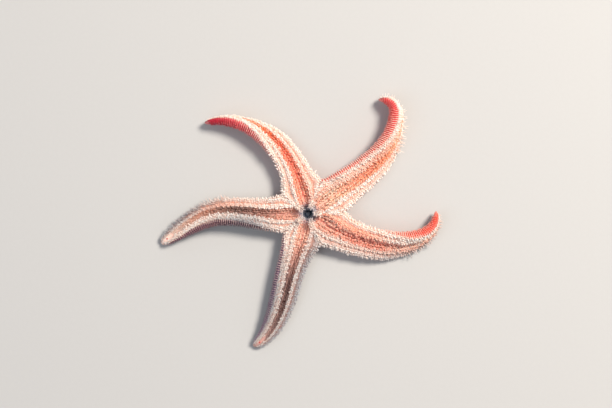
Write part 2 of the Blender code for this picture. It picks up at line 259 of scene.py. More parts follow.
def ribWeight(c):
    # where the rows of plates raise the skin: strongest on the back, less on the ridges
    places = [0, 2.5, 4.5, 5.5, 6.8, 8.5, 10.5, 12, 16]
    return np.interp(np.abs(np.asarray(c, float)), places, [0.4, 0.3, 1.0, 1.0, 0.2, 1.0, 1.2, 1.0, 1.0])


discHeight = body["backDepth"] * body["rootHalf"] - body["press"]


class Arm:
    # q is the distance along the arm: 0 where it leaves the disc, below 0 on the disc
    def __init__(self, name):
        self.name = name
        self.facts = armShapes[name]
        self.index = armNames.index(name)
        corners = [body["notches"][(self.index + n) % 5] for n in (0, 1)]
        solid = [bearing(*corner) for corner in corners]
        inset = [bearing(turn, reach - skin["notchInset"]) for turn, reach in corners]
        self.root = (inset[0] + inset[1]) / 2
        self.toLeft = inset[1] - self.root
        self.rootHalf = float(np.linalg.norm(self.toLeft))
        self.apothem = float(np.linalg.norm(self.root))
        self.delay = float(np.linalg.norm((solid[0] + solid[1]) / 2 - self.root))
        self.reach = self.facts["length"] + self.delay
        normal = math.atan2(-self.toLeft[0], self.toLeft[1])
        first = math.radians(self.facts["headings"][0])
        self.rootTurn = (normal - first + math.pi) % (2 * math.pi) - math.pi
        self.steps = np.linspace(0, self.reach, 600)
        middle = (self.steps[1:] + self.steps[:-1]) / 2
        turn = np.radians(along(self.facts["headings"], self.share(middle)))
        moves = np.stack([np.cos(turn), np.sin(turn)], 1) * (self.steps[1] - self.steps[0])
        self.walk = self.root + np.concatenate([[[0, 0]], np.cumsum(moves, 0)])

    def share(self, q):
        return np.clip(q - self.delay, 0, None) / self.facts["length"]

    def settled(self, q):
        # 0 at the disc, 1 where the arm has its own girth and twist
        return ease(self.share(q) * self.facts["length"] / body["twistStart"])

    def web(self, q):
        # how much wider the arm is where it runs into its neighbours
        return (self.rootHalf - skin["sideShare"] * body["rootHalf"]) * np.exp(-q / body["webReach"])

    def sizes(self, q):
        # half width of the solid arm, half width of the skin, and how open the groove is
        toEnd = self.facts["length"] - self.share(q) * self.facts["length"]
        blunt = np.clip(toEnd / body["tipRound"], 0, 1)
        rounding = np.sqrt(np.maximum(1 - (1 - blunt) ** 2, 0.0009))
        girth = between(1, self.facts["girth"], self.settled(q))
        armHalf = along(body["taper"], self.share(q)) * girth * rounding
        groove = ease((toEnd - body["grooveBlind"]) / body["grooveRunOut"])
        return armHalf, skin["sideShare"] * armHalf + self.web(q), groove

    def growth(self, q):
        # how large the things that grow on the arm are, down to its thin end
        return np.sqrt(np.clip(self.sizes(np.maximum(q, 0))[0] / body["fullHalf"], 0.12, 1.0))

    def frameAt(self, q):
        # middle of the section, and the directions of its left side and of the mouth side
        share = self.share(q)
        settled = self.settled(q)
        plane = np.radians(along(self.facts["headings"], share)) + self.rootTurn * (1 - settled)
        roll = np.radians(along(self.facts["rolls"], share)) * settled
        level = np.stack([-np.sin(plane), np.cos(plane), 0 * plane], 1)
        up = np.array([0.0, 0.0, 1.0])
        left = np.cos(roll)[:, None] * level + np.sin(roll)[:, None] * up
        oral = np.cos(roll)[:, None] * up - np.sin(roll)[:, None] * level
        armHalf = self.sizes(q)[0]
        wide = (armHalf + self.web(q)) * np.sin(roll)
        reach = np.hypot(wide, body["backDepth"] * armHalf * np.cos(roll))
        lift = self.facts["lift"] * rise(share, body["liftStart"], 1 - body["liftStart"])
        middle = np.stack([np.interp(q, self.steps, self.walk[:, n]) for n in (0, 1)], 1)
        return raised(middle, reach - body["press"] + lift), left, oral

    def surface(self, q, c, lifted=0.0):
        # points of the skin for each q and c on the arm, and the skin's outward direction there
        q = np.asarray(q, float)
        armHalf, sideHalf, groove = self.sizes(q)
        lifted = np.broadcast_to(lifted, (len(q), np.shape(c)[-1]))
        control = sectionPoints(q, sideHalf, armHalf, groove, self.facts["grooveWide"])
        flat = around(control, c)
        near = 0.02  # how far to each side the slope is read
        tangent = around(control, np.asarray(c) + near) - around(control, np.asarray(c) - near)
        normal = unit(np.stack([-tangent[..., 1], tangent[..., 0]], -1))
        ribs = np.cos(2 * math.pi * q / skin["rowPitch"])[:, None] * ribWeight(c)
        size = np.clip(armHalf / body["fullHalf"], 0, 1)[:, None]
        fade = ease(q / skin["ribStart"])[:, None]
        flat = flat + normal * (ribs * size * fade * skin["ribHeight"] + lifted)[..., None]
        middle, left, oral = self.frameAt(q)
        place = middle[:, None] + flat[..., :1] * left[:, None] + flat[..., 1:] * oral[:, None]
        outward = normal[..., :1] * left[:, None] + normal[..., 1:] * oral[:, None]
        place[..., 2] = np.maximum(place[..., 2], skin["lowest"])
        return place, outward

    def rootSection(self, c, rows):
        # the section where the arm leaves the disc, read at c for a number of rows
        start = np.zeros(rows)
        armHalf, sideHalf, groove = self.sizes(start)
        flat = around(sectionPoints(start, sideHalf, armHalf, groove, self.facts["grooveWide"]), c)
        return flat[..., 0], flat[..., 1], float(armHalf[0]), float(sideHalf[0])

    def discTop(self, share, c):
        # the disc's mouth side: the grooves and ridges run on, and close in on the jaws
        share = np.asarray(share, float)[:, None]
        across, up, armHalf, sideHalf = self.rootSection(c, len(share))
        k = armHalf / body["fullHalf"]
        lip = float(grooveHalf(0.0, armHalf, sideHalf, self.facts["grooveWide"]))
        ridge = lip + 1.0 * k
        wedge = share * sideHalf
        lipHere = np.minimum(lip, disc["lipMost"] * wedge)
        ridgeHere = np.minimum(lipHere + 1.0 * k, disc["ridgeMost"] * wedge)
        wide = np.abs(across)
        outer = (wide - ridge) / (sideHalf - ridge)
        onRidge = lipHere + (wide - lip) / (ridge - lip) * (ridgeHere - lipHere)
        side = np.where(wide < lip, wide / lip * lipHere, onRidge)
        side = np.where(wide < ridge, side, ridgeHere + outer * (wedge - ridgeHere)) * np.sign(across)
        toSeat = np.clip(outer * 3, 0, 1) * (1 - rise(share, disc["seatStart"], disc["seatStart"]))
        up = between(up, disc["seat"] * k, toSeat)
        pit = ease((disc["pitStart"] - share) / disc["pitRun"])
        hole = ease((disc["holeStart"] - share) / disc["holeRun"])
        up = up * (1 - pit) - (disc["pitDepth"] + disc["holeDepth"] * hole) * pit
        plan = share[..., None] * self.root + self.toLeft * (side / sideHalf)[..., None]
        place = raised(plan, discHeight + up)
        return place, np.broadcast_to([0.0, 0.0, 1.0], place.shape)

    def discBack(self, share, c):
        # the disc's back, pressed flat on the ground in the middle
        share = np.asarray(share, float)[:, None]
        across, up, armHalf, sideHalf = self.rootSection(c, len(share))
        depth = skin["backShare"] * armHalf
        side = across / sideHalf
        smooth = np.sqrt(np.clip(1 - (side * share**1.5) ** 2, 0, 1))
        edge = np.sqrt(np.clip(1 - side**2, 0, 1))
        down = depth * smooth + (-up - depth * edge) * share**8
        plan = share[..., None] * (self.root + self.toLeft * side[..., None])
        outward = (self.toLeft / sideHalf) * (side * share**2)[..., None]
        place = raised(plan, np.maximum(discHeight - down, skin["lowest"]))
        return place, unit(raised(outward, -np.ones(across.shape)))


arms = [Arm(name) for name in armNames]
print("arms laid out:", ", ".join(f"{arm.name} {arm.reach:.1f} mm" for arm in arms))


# the bake map: a band for each arm, as long as the longest arm, and the disc's two sides above them; a piece
# of the coat has the whole map between its margins
bakeMap = {
    "left": 0.01,
    "wide": 0.98,
    "longest": 61.0,
    "firstBand": 0.005,
    "bandStep": 0.165,
    "bandTall": 0.16,
    "discMiddles": (0.09, 0.28),
    "discHeight": 0.915,
    "discScale": (200.0, 210.0),
    "coatMargin": 0.02,
    "coatWide": 0.96,
}
# where a look starts to change and over what distance: first round the section, then along the arm in mm
changes = {
    "rightToLeft": (-4.0, 8.0),
    "shadeOutside": (4.5, 4.5),
    "fleshInside": (5.6, 1.8),
    "redOnSkin": (6.0, 2.5),
    "redUnderRows": (7.0, 1.8),
    "redAlong": (-6.0, 8.0),
    "backAlong": (-6.0, 12.0),
    "grooveAlong": (-9.0, 9.0),
}
# the painted cool shade in the groove and how much more is painted outside it, how far the peach colour
# fades, between which shares of the arm the pale rows change, and how far from the mouth its grey reaches
strengths = {
    "shadeLeast": 0.65,
    "shadeMore": 0.55,
    "fleshFade": 0.8,
    "paleRows": (0.45, 0.9),
    "mouthGrey": (1.8, 5.0),
}


def redShift(arm, q, c):
    # how far the red of the back comes over the margin, on the side that is turned up
    shift = along(arm.facts["redReach"], np.clip(q / arm.reach, 0, 1)) * rise(q, *changes["redAlong"])
    return np.where(c * arm.facts["redSide"] > 0, shift, 0.0)


def sided(values, share, c):
    # a value along the arm that differs between its left and right halves
    left, right = (along(side, share) for side in values)
    return between(right, left, rise(c, *changes["rightToLeft"]))


def marks(arm, q, c, place):
    # what every point of the body knows, for its markings; q and c are arrays of one shape
    share = np.clip(q / arm.reach, 0, 1)
    colours = armColours[arm.name]
    offDisc = rise(q, *changes["grooveAlong"])
    # painted shade: a cool grey laid on the arms' halves that are turned from the light, more outside the
    # groove
    shade = between(disc["shade"], sided(colours["shade"], share, c), offDisc)
    outside = rise(np.abs(c), *changes["shadeOutside"])
    shade = shade * (strengths["shadeLeast"] + strengths["shadeMore"] * outside)
    fading = 1 - strengths["fleshFade"] * rise(np.abs(c), *changes["fleshInside"])
    flesh = np.clip(sided(colours["flesh"], share, c), 0, 1) * fading
    groove, back = (colourAlong(colours[key], share) for key in ("groove", "back"))
    groove = between(np.array(linear(disc["groove"])), groove, offDisc[..., None])
    back = between(np.array(linear(disc["back"])), back, rise(q, *changes["backAlong"])[..., None])
    opaque = np.ones(q.shape)
    start, reach = strengths["mouthGrey"]
    fromMouth = (np.linalg.norm(place[..., :2], axis=-1) - start) / reach
    margin, wide = bakeMap["coatMargin"], bakeMap["coatWide"]
    patch = margin + wide * (q + arm.apothem) / (arm.reach + arm.apothem)
    return {
        "across": np.abs(c) + redShift(arm, q, c) * rise(np.abs(c), *changes["redOnSkin"]),
        "row": q / skin["rowPitch"],
        "shade": shade,
        "flesh": flesh,
        "rowPale": np.interp(share, strengths["paleRows"], colours["rows"]),
        "mouthNear": ease(1 - fromMouth) * (np.abs(centred(c)) < 11.1),  # not on the back
        "grooveColour": raised(np.clip(groove, 0, 1), opaque),
        "backColour": raised(np.clip(back, 0, 1), opaque),
        "rootUv": np.stack([patch, margin + wide * ((c + 16) / 32), 0 * q], -1),
    }


attributeTypes = {1: ("FLOAT", "value"), 3: ("FLOAT_VECTOR", "vector"), 4: ("FLOAT_COLOR", "color")}


def storeMark(mesh, name, data):
    data = np.asarray(data, float)
    kind, field = attributeTypes[1 if data.ndim == 1 else data.shape[-1]]
    layer = mesh.attributes.new(name, kind, "POINT")
    layer.data.foreach_set(field, data.astype(np.float32).ravel())


def gridQuads(index):
    return np.stack([index[:-1, :-1], index[:-1, 1:], index[1:, 1:], index[1:, :-1]], -1).reshape(-1, 4)


def makeGrid(arm, place, q, c, uv):
    # a sheet of the skin with its marks; q and c are read at its stations and columns
    rows, columns = place.shape[:2]
    q, c = np.meshgrid(q, c, indexing="ij")
    values = marks(arm, q, c, place)
    values = {name: data.reshape(rows * columns, -1).squeeze() for name, data in values.items()}
    quads = gridQuads(np.arange(rows * columns).reshape(rows, columns))[:, ::-1]
    return {"points": place.reshape(-1, 3), "quads": quads, "marks": values, "uv": uv.reshape(-1, 2)}


oralColumns = np.linspace(-11, 11, 35)
leftBack = np.linspace(11, 16, 8)
rightBack = np.linspace(-16, -11, 8)


def armGrids(arm):
    # the arm's tube, and its wedge of the disc's two sides
    step = skin["rowPitch"] / skin["stationsPerRow"]
    q = np.append(np.arange(0, arm.reach - 0.05, step), arm.reach)
    columns = np.concatenate([rightBack[:-1], oralColumns, leftBack[1:]])
    place, _ = arm.surface(q, columns)
    mapX = bakeMap["left"] + bakeMap["wide"] * q / bakeMap["longest"]
    mapY = bakeMap["firstBand"] + bakeMap["bandStep"] * arm.index + bakeMap["bandTall"] * (columns + 16) / 32
    uv = np.stack(np.meshgrid(mapX, mapY, indexing="ij"), -1)
    grids = [makeGrid(arm, place, q, columns, uv)]
    backColumns = np.concatenate([leftBack, rightBack[1:]])
    sheets = ((oralColumns, arm.discTop), (backColumns, arm.discBack))
    for (columns, sheet), count, middle in zip(sheets, skin["discRows"], bakeMap["discMiddles"]):
        share = np.linspace(1, skin["hub"], count)
        place, _ = sheet(share, columns)
        uv = [middle, bakeMap["discHeight"]] + place[..., :2] / bakeMap["discScale"]
        grids.append(makeGrid(arm, place, -(1 - share) * arm.apothem, columns, uv))
    return grids


def meshFrom(name, parts):
    # one mesh of all the grids, or of all the guides, with their marks
    starts = np.cumsum([0] + [len(part["points"]) for part in parts])
    points = np.concatenate([part["points"] for part in parts]) * mm
    mesh = bpy.data.meshes.new(name)
    if "quads" in parts[0]:
        quads = np.concatenate([part["quads"] + start for part, start in zip(parts, starts)])
        mesh.from_pydata(points, [], quads)
        uv = np.concatenate([part["uv"] for part in parts])
        layer = mesh.uv_layers.new(name="OFBake")
        layer.data.foreach_set("uv", uv[quads.ravel()].astype(np.float32).ravel())
    else:
        edges = [(i, i + 1) for first, last in zip(starts[:-1], starts[1:]) for i in range(first, last - 1)]
        mesh.from_pydata(points, edges, [])
    for key in parts[0]["marks"]:
        storeMark(mesh, key, np.concatenate([part["marks"][key] for part in parts]))
    return mesh


def keepShape(shape, mesh):
    shape.to_mesh(mesh)
    shape.free()
    mesh.shade_smooth()
    return mesh


def closeMesh(mesh, capEnds=True):
    # welds the sheets to one closed skin, faces outwards
    shape = bmesh.new()
    shape.from_mesh(mesh)
    bmesh.ops.remove_doubles(shape, verts=shape.verts, dist=2e-6)
    if capEnds:
        openEdges = [edge for edge in shape.edges if len(edge.link_faces) == 1]
        bmesh.ops.holes_fill(shape, edges=openEdges, sides=0)
    bmesh.ops.recalc_face_normals(shape, faces=shape.faces)
    return keepShape(shape, mesh)


def newObject(name, data):
    item = bpy.data.objects.new(name, data)
    bpy.context.scene.collection.objects.link(item)
    return item


def addPiece(name, mesh, material, slot, *nodes):
    piece = newObject(name, mesh)
    mesh.materials.clear()
    mesh.materials.append(material)
    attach(piece, "root")
    if nodes:
        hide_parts(*nodes)


def newGroup(name, inputs, outputs, treeKind="ShaderNodeTree"):
    group = bpy.data.node_groups.new(name, treeKind)
    for direction, sockets in (("INPUT", inputs), ("OUTPUT", outputs)):
        for label, kind, value in sockets:
            socket = group.interface.new_socket(label, in_out=direction, socket_type="NodeSocket" + kind)
            if value is not None:
                socket.default_value = value
    return group, group.nodes.new("NodeGroupInput").outputs, group.nodes.new("NodeGroupOutput").inputs


def addNode(tree, kind, inputs=None, **settings):
    node = tree.nodes.new(kind)
    for key, value in settings.items():
        setattr(node, key, value)
    for key, value in (inputs or {}).items():
        if isinstance(value, bpy.types.NodeSocket):
            tree.links.new(value, node.inputs[key])
        else:
            node.inputs[key].default_value = value
    return node


def combine(tree, operation, *values):
    return addNode(tree, "ShaderNodeMath", dict(enumerate(values)), operation=operation).outputs[0]


def times(tree, first, second):
    return combine(tree, "MULTIPLY", first, second)


def mixColour(tree, factor, first, second, blend="MIX"):
    given = {0: factor, 6: first, 7: second}
    colours = {key: (*value, 1.0) if isinstance(value, tuple) else value for key, value in given.items()}
    return addNode(tree, "ShaderNodeMix", colours, data_type="RGBA", blend_type=blend).outputs[2]


def mapped(tree, value, low, high, toLow=0.0, toHigh=1.0):
    span = {"Value": value, "From Min": low, "From Max": high, "To Min": toLow, "To Max": toHigh}
    return addNode(tree, "ShaderNodeMapRange", span, interpolation_type="SMOOTHSTEP").outputs["Result"]


def attribute(tree, name, output="Fac"):
    return addNode(tree, "ShaderNodeAttribute", attribute_name=name).outputs[output]


def objectPlace(tree):
    return addNode(tree, "ShaderNodeTexCoord").outputs["Object"]


def noise(tree, scale, detail):
    given = {"Vector": objectPlace(tree), "Scale": scale, "Detail": detail}
    return addNode(tree, "ShaderNodeTexNoise", given).outputs["Fac"]


# the body wall's colours, and where one gives way to the next: across is 0 in the middle of the groove, 11 at
# a margin and 16 in the middle of the back, and a second pair of numbers is how strong it is on both sides
bodyColours = {
    "cream": "F4D0BC",
    "channel": "F0A88C",
    "fleshPink": "EE9C84",
    # the groove's bed is painted paler: painted light in the gaps between the feet
    "grooveBed": "FFC8B8",
    "rowPale": "F5B4A2",
    # shadeTint is the colour of painted shade, laid on the arms' halves turned from the light
    "shadeTint": "A4B0BE",
    "mouthGrey": "8E8A96",
    # the mouth's painted shadow: near black where the skin runs down into its hole
    "mouthDark": "1E2A3C",
}
bodyBands = {
    "grooveBed": (1.0, 3.2, 0.45, 0.0),
    "oral": (3.0, 4.4),
    "cooling": (3.0, 5.0, 0.35, 1.0),
    "channel": (5.6, 6.8),
    "outer": (7.2, 8.4),
    "back": (10.4, 12.2),
    "paleColour": (11.0, 13.5),
    "paleRows": (11.2, 14.5, 0.9, 0.25),
    "rows": (-0.2, 0.75),
    "pinkGrain": (0.45, 0.62, 0.0, 0.55),
    "patches": (0.4, 0.6),
    "mouthGrey": (0.15, 0.75, 0.0, 0.75),
    "mouthDark": (0.86, 0.99),
    "wander": 2.6,
    "teeth": -0.9,
    "fleshShare": 0.8,
    "blotchScale": 380.0,
    "grainScale": 2300.0,
}
markNumbers = {
    "Across": "across",
    "Row": "row",
    "Shade": "shade",
    "Mouth": "mouthNear",
    "Row Pale": "rowPale",
    "Flesh": "flesh",
}
markColours = {"Groove": "grooveColour", "Back": "backColour"}


def makeMarkings():
    # colour of the body wall from where a point lies round and along its arm
    inputs = [(label, "Float", 0.0) for label in markNumbers]
    inputs += [(label, "Color", None) for label in markColours]
    outputs = [("Color", "Color", None), ("Patches", "Float", None)]
    group, given, out = newGroup("bodyMarkings", inputs, outputs)
    paint = {key: linear(code) for key, code in bodyColours.items()}

    def band(value, key):
        return mapped(group, value, *bodyBands[key])

    def over(value, key, first, second):
        # the first colour up to a band and the second beyond it; a word is one of the body's colours
        first, second = (paint[colour] if isinstance(colour, str) else colour for colour in (first, second))
        return mixColour(group, band(value, key), first, second)

    blotch = noise(group, bodyBands["blotchScale"], 3.0)
    grain = noise(group, bodyBands["grainScale"], 2.0)
    wander = combine(group, "MULTIPLY_ADD", blotch, bodyBands["wander"], -bodyBands["wander"] / 2)
    edge = combine(group, "ADD", given["Across"], wander)
    wave = combine(group, "COSINE", times(group, given["Row"], 2 * math.pi))
    flesh = times(group, given["Flesh"], bodyBands["fleshShare"])
    pinkish = combine(group, "MAXIMUM", band(grain, "pinkGrain"), flesh)
    outer = over(edge, "outer", over(edge, "channel", "cream", "channel"), "cream")
    fleshed = mixColour(group, pinkish, outer, paint["fleshPink"])
    # painted light: the groove's floor between the feet is lightened, so its gaps look lit
    oral = over(edge, "oral", over(edge, "grooveBed", given["Groove"], "grooveBed"), fleshed)
    paleRows = times(group, times(group, band(wave, "rows"), band(edge, "paleRows")), given["Row Pale"])
    redder = mixColour(group, paleRows, given["Back"], over(edge, "paleColour", "cream", "rowPale"))
    teeth = combine(group, "MULTIPLY_ADD", wave, bodyBands["teeth"], edge)
    skinned = over(teeth, "back", oral, redder)
    # painted shade: the arm's shade mark greys and cools the body wall, less in the groove
    cooling = times(group, given["Shade"], band(edge, "cooling"))
    tinted = mixColour(group, cooling, skinned, paint["shadeTint"], "MULTIPLY")
    greyed = over(given["Mouth"], "mouthGrey", tinted, "mouthGrey")
    # painted shade: the skin down in the mouth's hole is painted near black, as the shadow in it
    dark = over(given["Mouth"], "mouthDark", greyed, "mouthDark")
    group.links.new(dark, out["Color"])
    group.links.new(band(blotch, "patches"), out["Patches"])
    return group


# how rough the wet film is, how far light spreads inside the flesh in metres, the scale of the unevenness
# between the pebbles, and where that makes the film duller
wetness = {"filmRoughness": 0.25, "lightSpread": 0.0010, "unevenScale": 1400.0, "dullSpots": (0.42, 0.6)}


def makeWetGrain():
    # fine pebbling of wet skin, as a normal
    group, given, out = newGroup(
        "wetGrain",
        [("Scale", "Float", 2500.0), ("Strength", "Float", 0.4), ("Depth", "Float", 0.00008)],
        [("Normal", "Vector", None), ("Gloss Spots", "Float", None)],
    )
    where = {"Vector": objectPlace(group), "Scale": given["Scale"]}
    pebbles = addNode(group, "ShaderNodeTexVoronoi", where, feature="SMOOTH_F1").outputs["Distance"]
    rough = noise(group, wetness["unevenScale"], 4.0)
    height = combine(group, "SUBTRACT", rough, pebbles)
    sizes = {"Strength": given["Strength"], "Distance": given["Depth"], "Height": height}
    group.links.new(addNode(group, "ShaderNodeBump", sizes).outputs["Normal"], out["Normal"])
    group.links.new(mapped(group, rough, *wetness["dullSpots"]), out["Gloss Spots"])
    return group


markings = makeMarkings()
wetGrain = makeWetGrain()


def newMaterial(name, roughness, coat=0.0, subsurface=0.0):
    material = bpy.data.materials.new(name)
    material.use_nodes = True
    looks = {
        "Roughness": roughness,
        "Coat Weight": coat,
        "Coat Roughness": wetness["filmRoughness"],
        "Subsurface Weight": subsurface,
        "Subsurface Scale": wetness["lightSpread"],
        "Subsurface Radius": (1.0, 1.0, 1.0),
    }
    for key, value in looks.items():
        material.node_tree.nodes["Principled BSDF"].inputs[key].default_value = value
    return material, material.node_tree


def finishMaterial(material, colour, grain=None):
    # gives the material its colour, and a grain of some scale, strength and depth
    tree = material.node_tree
    shader = tree.nodes["Principled BSDF"]
    tree.links.new(colour, shader.inputs["Base Color"])
    if grain:
        given = dict(zip(("Scale", "Strength", "Depth"), grain))
        node = addNode(tree, "ShaderNodeGroup", given, node_tree=wetGrain)
        tree.links.new(node.outputs["Normal"], shader.inputs["Normal"])
        return node.outputs["Gloss Spots"], shader.inputs["Roughness"]


def readMarkings(tree):
    given = {label: attribute(tree, name) for label, name in markNumbers.items()}
    given.update({label: attribute(tree, name, "Color") for label, name in markColours.items()})
    return addNode(tree, "ShaderNodeGroup", given, node_tree=markings).outputs


skinLooks = {"coat": 0.15, "subsurface": 0.7, "grain": (3200.0, 0.5, 0.00010), "glossy": 0.36, "dull": 0.6}


def makeSkinMaterial():
    material, tree = newMaterial("wetSkin", 0.5, skinLooks["coat"], skinLooks["subsurface"])
    spots, roughness = finishMaterial(material, readMarkings(tree)["Color"], skinLooks["grain"])
    tree.links.new(mapped(tree, spots, 0.0, 1.0, skinLooks["glossy"], skinLooks["dull"]), roughness)
    return material


def shadeTinted(tree, colour, amount=1.0):
    # painted shade: the cooler, greyer colour laid on the arms and halves that are turned from the light
    cooling = times(tree, attribute(tree, "shade"), amount)
    return mixColour(tree, cooling, colour, linear(bodyColours["shadeTint"]), "MULTIPLY")


def mouthGreyed(tree, colour, grey):
    # spines and feet turn blue-grey round the mouth
    near = mapped(tree, attribute(tree, "mouthNear"), *spineFinish["greyReach"])
    return mixColour(tree, near, colour, linear(grey))


# the spines' finish: the last numbers of a reach are how strong it is on both sides
spineFinish = {
    "flesh": "F6A486",
    "nearMouth": "ACAEB8",
    "greyReach": (0.1, 0.8, 0.0, 0.6),
    "paleReach": (0.05, 0.6),
    "patches": (0.0, 1.0, 0.6, 1.0),
    "coat": 0.08,
    "subsurface": 0.7,
    "grain": (5200.0, 0.3, 0.00005),
}


def makeSpineMaterial(name, tipColour, tipShare, onBack=False):
    # chalky spines in a thin skin: the body's colour at the root, paler to the tip
    material, tree = newMaterial(name, 0.5, spineFinish["coat"], spineFinish["subsurface"])
    bodyWall, patches = readMarkings(tree)
    paler = times(tree, mapped(tree, attribute(tree, "tipward"), *spineFinish["paleReach"]), tipShare)
    paler = times(tree, paler, mapped(tree, patches, *spineFinish["patches"]))
    if onBack:
        paler = times(tree, paler, attribute(tree, "rowPale"))
    tipped = mixColour(tree, attribute(tree, "flesh"), linear(tipColour), linear(spineFinish["flesh"]))
    # painted shade on the spines' tips, from the arm's shade mark
    tipped = mouthGreyed(tree, shadeTinted(tree, tipped), spineFinish["nearMouth"])
    finishMaterial(material, mixColour(tree, paler, bodyWall, tipped), spineFinish["grain"])
    return material


def makeSkin():
    mesh = closeMesh(meshFrom("skin", [grid for arm in arms for grid in armGrids(arm)]))
    mesh.attributes.remove(mesh.attributes["rootUv"])
    nodes = ["disc"] + [f"arm_{name}_{part}" for name in armNames for part in ("base", "middle", "end")]
    addPiece("skin", mesh, makeSkinMaterial(), "skin", *nodes)
    print("skin:", len(mesh.polygons), "faces")


makeSkin()


# geometry nodes: rows of spines that follow guides, and grains scattered over a patch
def geoNode(tree, kind, inputs=None, output=0, **settings):
    return addNode(tree, "GeometryNode" + kind, inputs, **settings).outputs[output]


def newTree(name, sizes):
    inputs = [("Geometry", "Geometry", None)] + [(label, "Float", value) for label, value in sizes.items()]
    inputs += [("Floor Gap", "Float", 0.00002), ("Seed", "Int", 1), ("Material", "Material", None)]
    return newGroup(name, inputs, [("Geometry", "Geometry", None)], "GeometryNodeTree")


def named(tree, name, kind="FLOAT_VECTOR"):
    return geoNode(tree, "InputNamedAttribute", {"Name": name}, "Attribute", data_type=kind)


def storeNamed(tree, parts, name, value, kind="FLOAT", domain="POINT"):
    given = {"Geometry": parts, "Name": name, "Value": value}
    return geoNode(tree, "StoreNamedAttribute", given, data_type=kind, domain=domain)


def separate(tree):
    # where each point is, along x, y and z
    place = geoNode(tree, "InputPosition")
    return addNode(tree, "ShaderNodeSeparateXYZ", {0: place}).outputs


def vectorOf(tree, x, y, z):
    return addNode(tree, "ShaderNodeCombineXYZ", {0: x, 1: y, 2: z}).outputs[0]


def addVectors(tree, first, second):
    return addNode(tree, "ShaderNodeVectorMath", {0: first, 1: second}, operation="ADD").outputs[0]


def scaled(tree, vector, amount):
    return addNode(tree, "ShaderNodeVectorMath", {0: vector, 3: amount}, operation="SCALE").outputs[0]


# added to the seed, so that each use draws numbers of its own
draws = {"scatter": 10, "tilt": 20, "spin": 30, "size": 40}


def randomValue(tree, low, high, given, draw):
    seed = combine(tree, "ADD", given["Seed"], float(draw))
    return addNode(tree, "FunctionNodeRandomValue", {2: low, 3: high, 8: seed}).outputs[1]


def jitter(tree, amount, given, draw):
    low = times(tree, amount, -1.0)
    return vectorOf(tree, *(randomValue(tree, low, amount, given, draw + n) for n in (1, 2, 3)))


def varied(tree, size, given):
    # a size that is some share larger or smaller
    low, high = (combine(tree, operation, 1.0, given["Variation"]) for operation in ("SUBTRACT", "ADD"))
    return times(tree, size, randomValue(tree, low, high, given, draws["size"]))


def finishTree(tree, given, points, shape, rotation, scale, out):
    # puts a shape on the points, keeps it clear of the floor, and lays out its bake map
    placed = {"Points": points, "Instance": shape, "Rotation": rotation, "Scale": scale}
    real = geoNode(tree, "RealizeInstances", {"Geometry": geoNode(tree, "InstanceOnPoints", placed)})
    x, y, z = separate(tree)
    clear = vectorOf(tree, x, y, combine(tree, "MAXIMUM", z, given["Floor Gap"]))
    onFloor = geoNode(tree, "SetPosition", {"Geometry": real, "Position": clear})
    patch = addVectors(tree, named(tree, "rootUv"), scaled(tree, named(tree, "tuftUv"), 0.003))
    mapLaid = storeNamed(tree, onFloor, "OFBake", patch, "FLOAT2", "CORNER")
    smooth = geoNode(tree, "SetShadeSmooth", {"Geometry": mapLaid})
    tree.links.new(geoNode(tree, "SetMaterial", {"Geometry": smooth, "Material": given["Material"]}), out[0])
    return tree


def makeRowTree(name, profile, sides, rings):
    # one spine, foot or bristle on every step along the guides; profile is its width from root to tip
    sizes = {"Spacing": 0.5 * mm, "Length": 1.0 * mm, "Width": 0.3 * mm, "Bend": 0.1, "Variation": 0.2}
    sizes.update({"Tilt Jitter": 0.2, "Scatter": 0.1 * mm, "Sink": 0.1 * mm})
    tree, given, out = newTree(name, sizes)
    line = geoNode(tree, "CurvePrimitiveLine")
    line = geoNode(tree, "ResampleCurve", {"Curve": line, "Count": rings})
    factor = geoNode(tree, "SplineParameter", output="Factor")
    bend = times(tree, combine(tree, "POWER", factor, 2.0), given["Bend"])
    crowded = combine(tree, "SUBTRACT", combine(tree, "POWER", factor, 0.7), factor)  # more rings at the tip
    line = geoNode(tree, "SetPosition", {"Geometry": line, "Offset": vectorOf(tree, bend, 0.0, crowded)})
    line = storeNamed(tree, line, "tipward", factor)
    circle = geoNode(tree, "CurvePrimitiveCircle", {"Resolution": sides, "Radius": 1.0})
    curve = addNode(tree, "ShaderNodeFloatCurve", {"Value": factor})
    points = curve.mapping.curves[0].points
    while len(points) < len(profile):
        points.new(0.5, 0.5)
    for point, location in zip(points, profile):
        point.location = location
    curve.mapping.update()
    swept = {"Curve": line, "Profile Curve": circle, "Scale": curve.outputs[0], "Fill Caps": True}
    spine = geoNode(tree, "CurveToMesh", swept)
    _, y, z = separate(tree)
    patch = vectorOf(tree, times(tree, y, 0.5), combine(tree, "SUBTRACT", z, 0.5), 0.0)
    spine = storeNamed(tree, spine, "tuftUv", patch, "FLOAT_VECTOR")

    guides = geoNode(tree, "MeshToCurve", {"Mesh": given["Geometry"]})
    steps = geoNode(tree, "ResampleCurve", {"Curve": guides, "Length": given["Spacing"]}, mode="LENGTH")
    sunk = scaled(tree, named(tree, "lean"), times(tree, given["Sink"], -1.0))
    shifted = addVectors(tree, jitter(tree, given["Scatter"], given, draws["scatter"]), sunk)
    steps = geoNode(tree, "SetPosition", {"Geometry": steps, "Offset": shifted})
    tilted = jitter(tree, given["Tilt Jitter"], given, draws["tilt"])
    direction = addVectors(tree, named(tree, "lean"), tilted)
    aimed = addNode(tree, "FunctionNodeAlignRotationToVector", {"Vector": direction}, axis="Z").outputs[0]
    spin = {"Axis": (0.0, 0.0, 1.0), "Angle": randomValue(tree, 0.0, 2 * math.pi, given, draws["spin"])}
    spin = addNode(tree, "FunctionNodeAxisAngleToRotation", spin).outputs[0]
    turned = addNode(tree, "FunctionNodeRotateRotation", {0: aimed, 1: spin}, rotation_space="LOCAL")
    size = named(tree, "size", "FLOAT")
    wide = times(tree, times(tree, size, given["Width"]), 0.5)
    long = times(tree, varied(tree, size, given), given["Length"])
    return finishTree(tree, given, steps, spine, turned.outputs[0], vectorOf(tree, wide, wide, long), out)


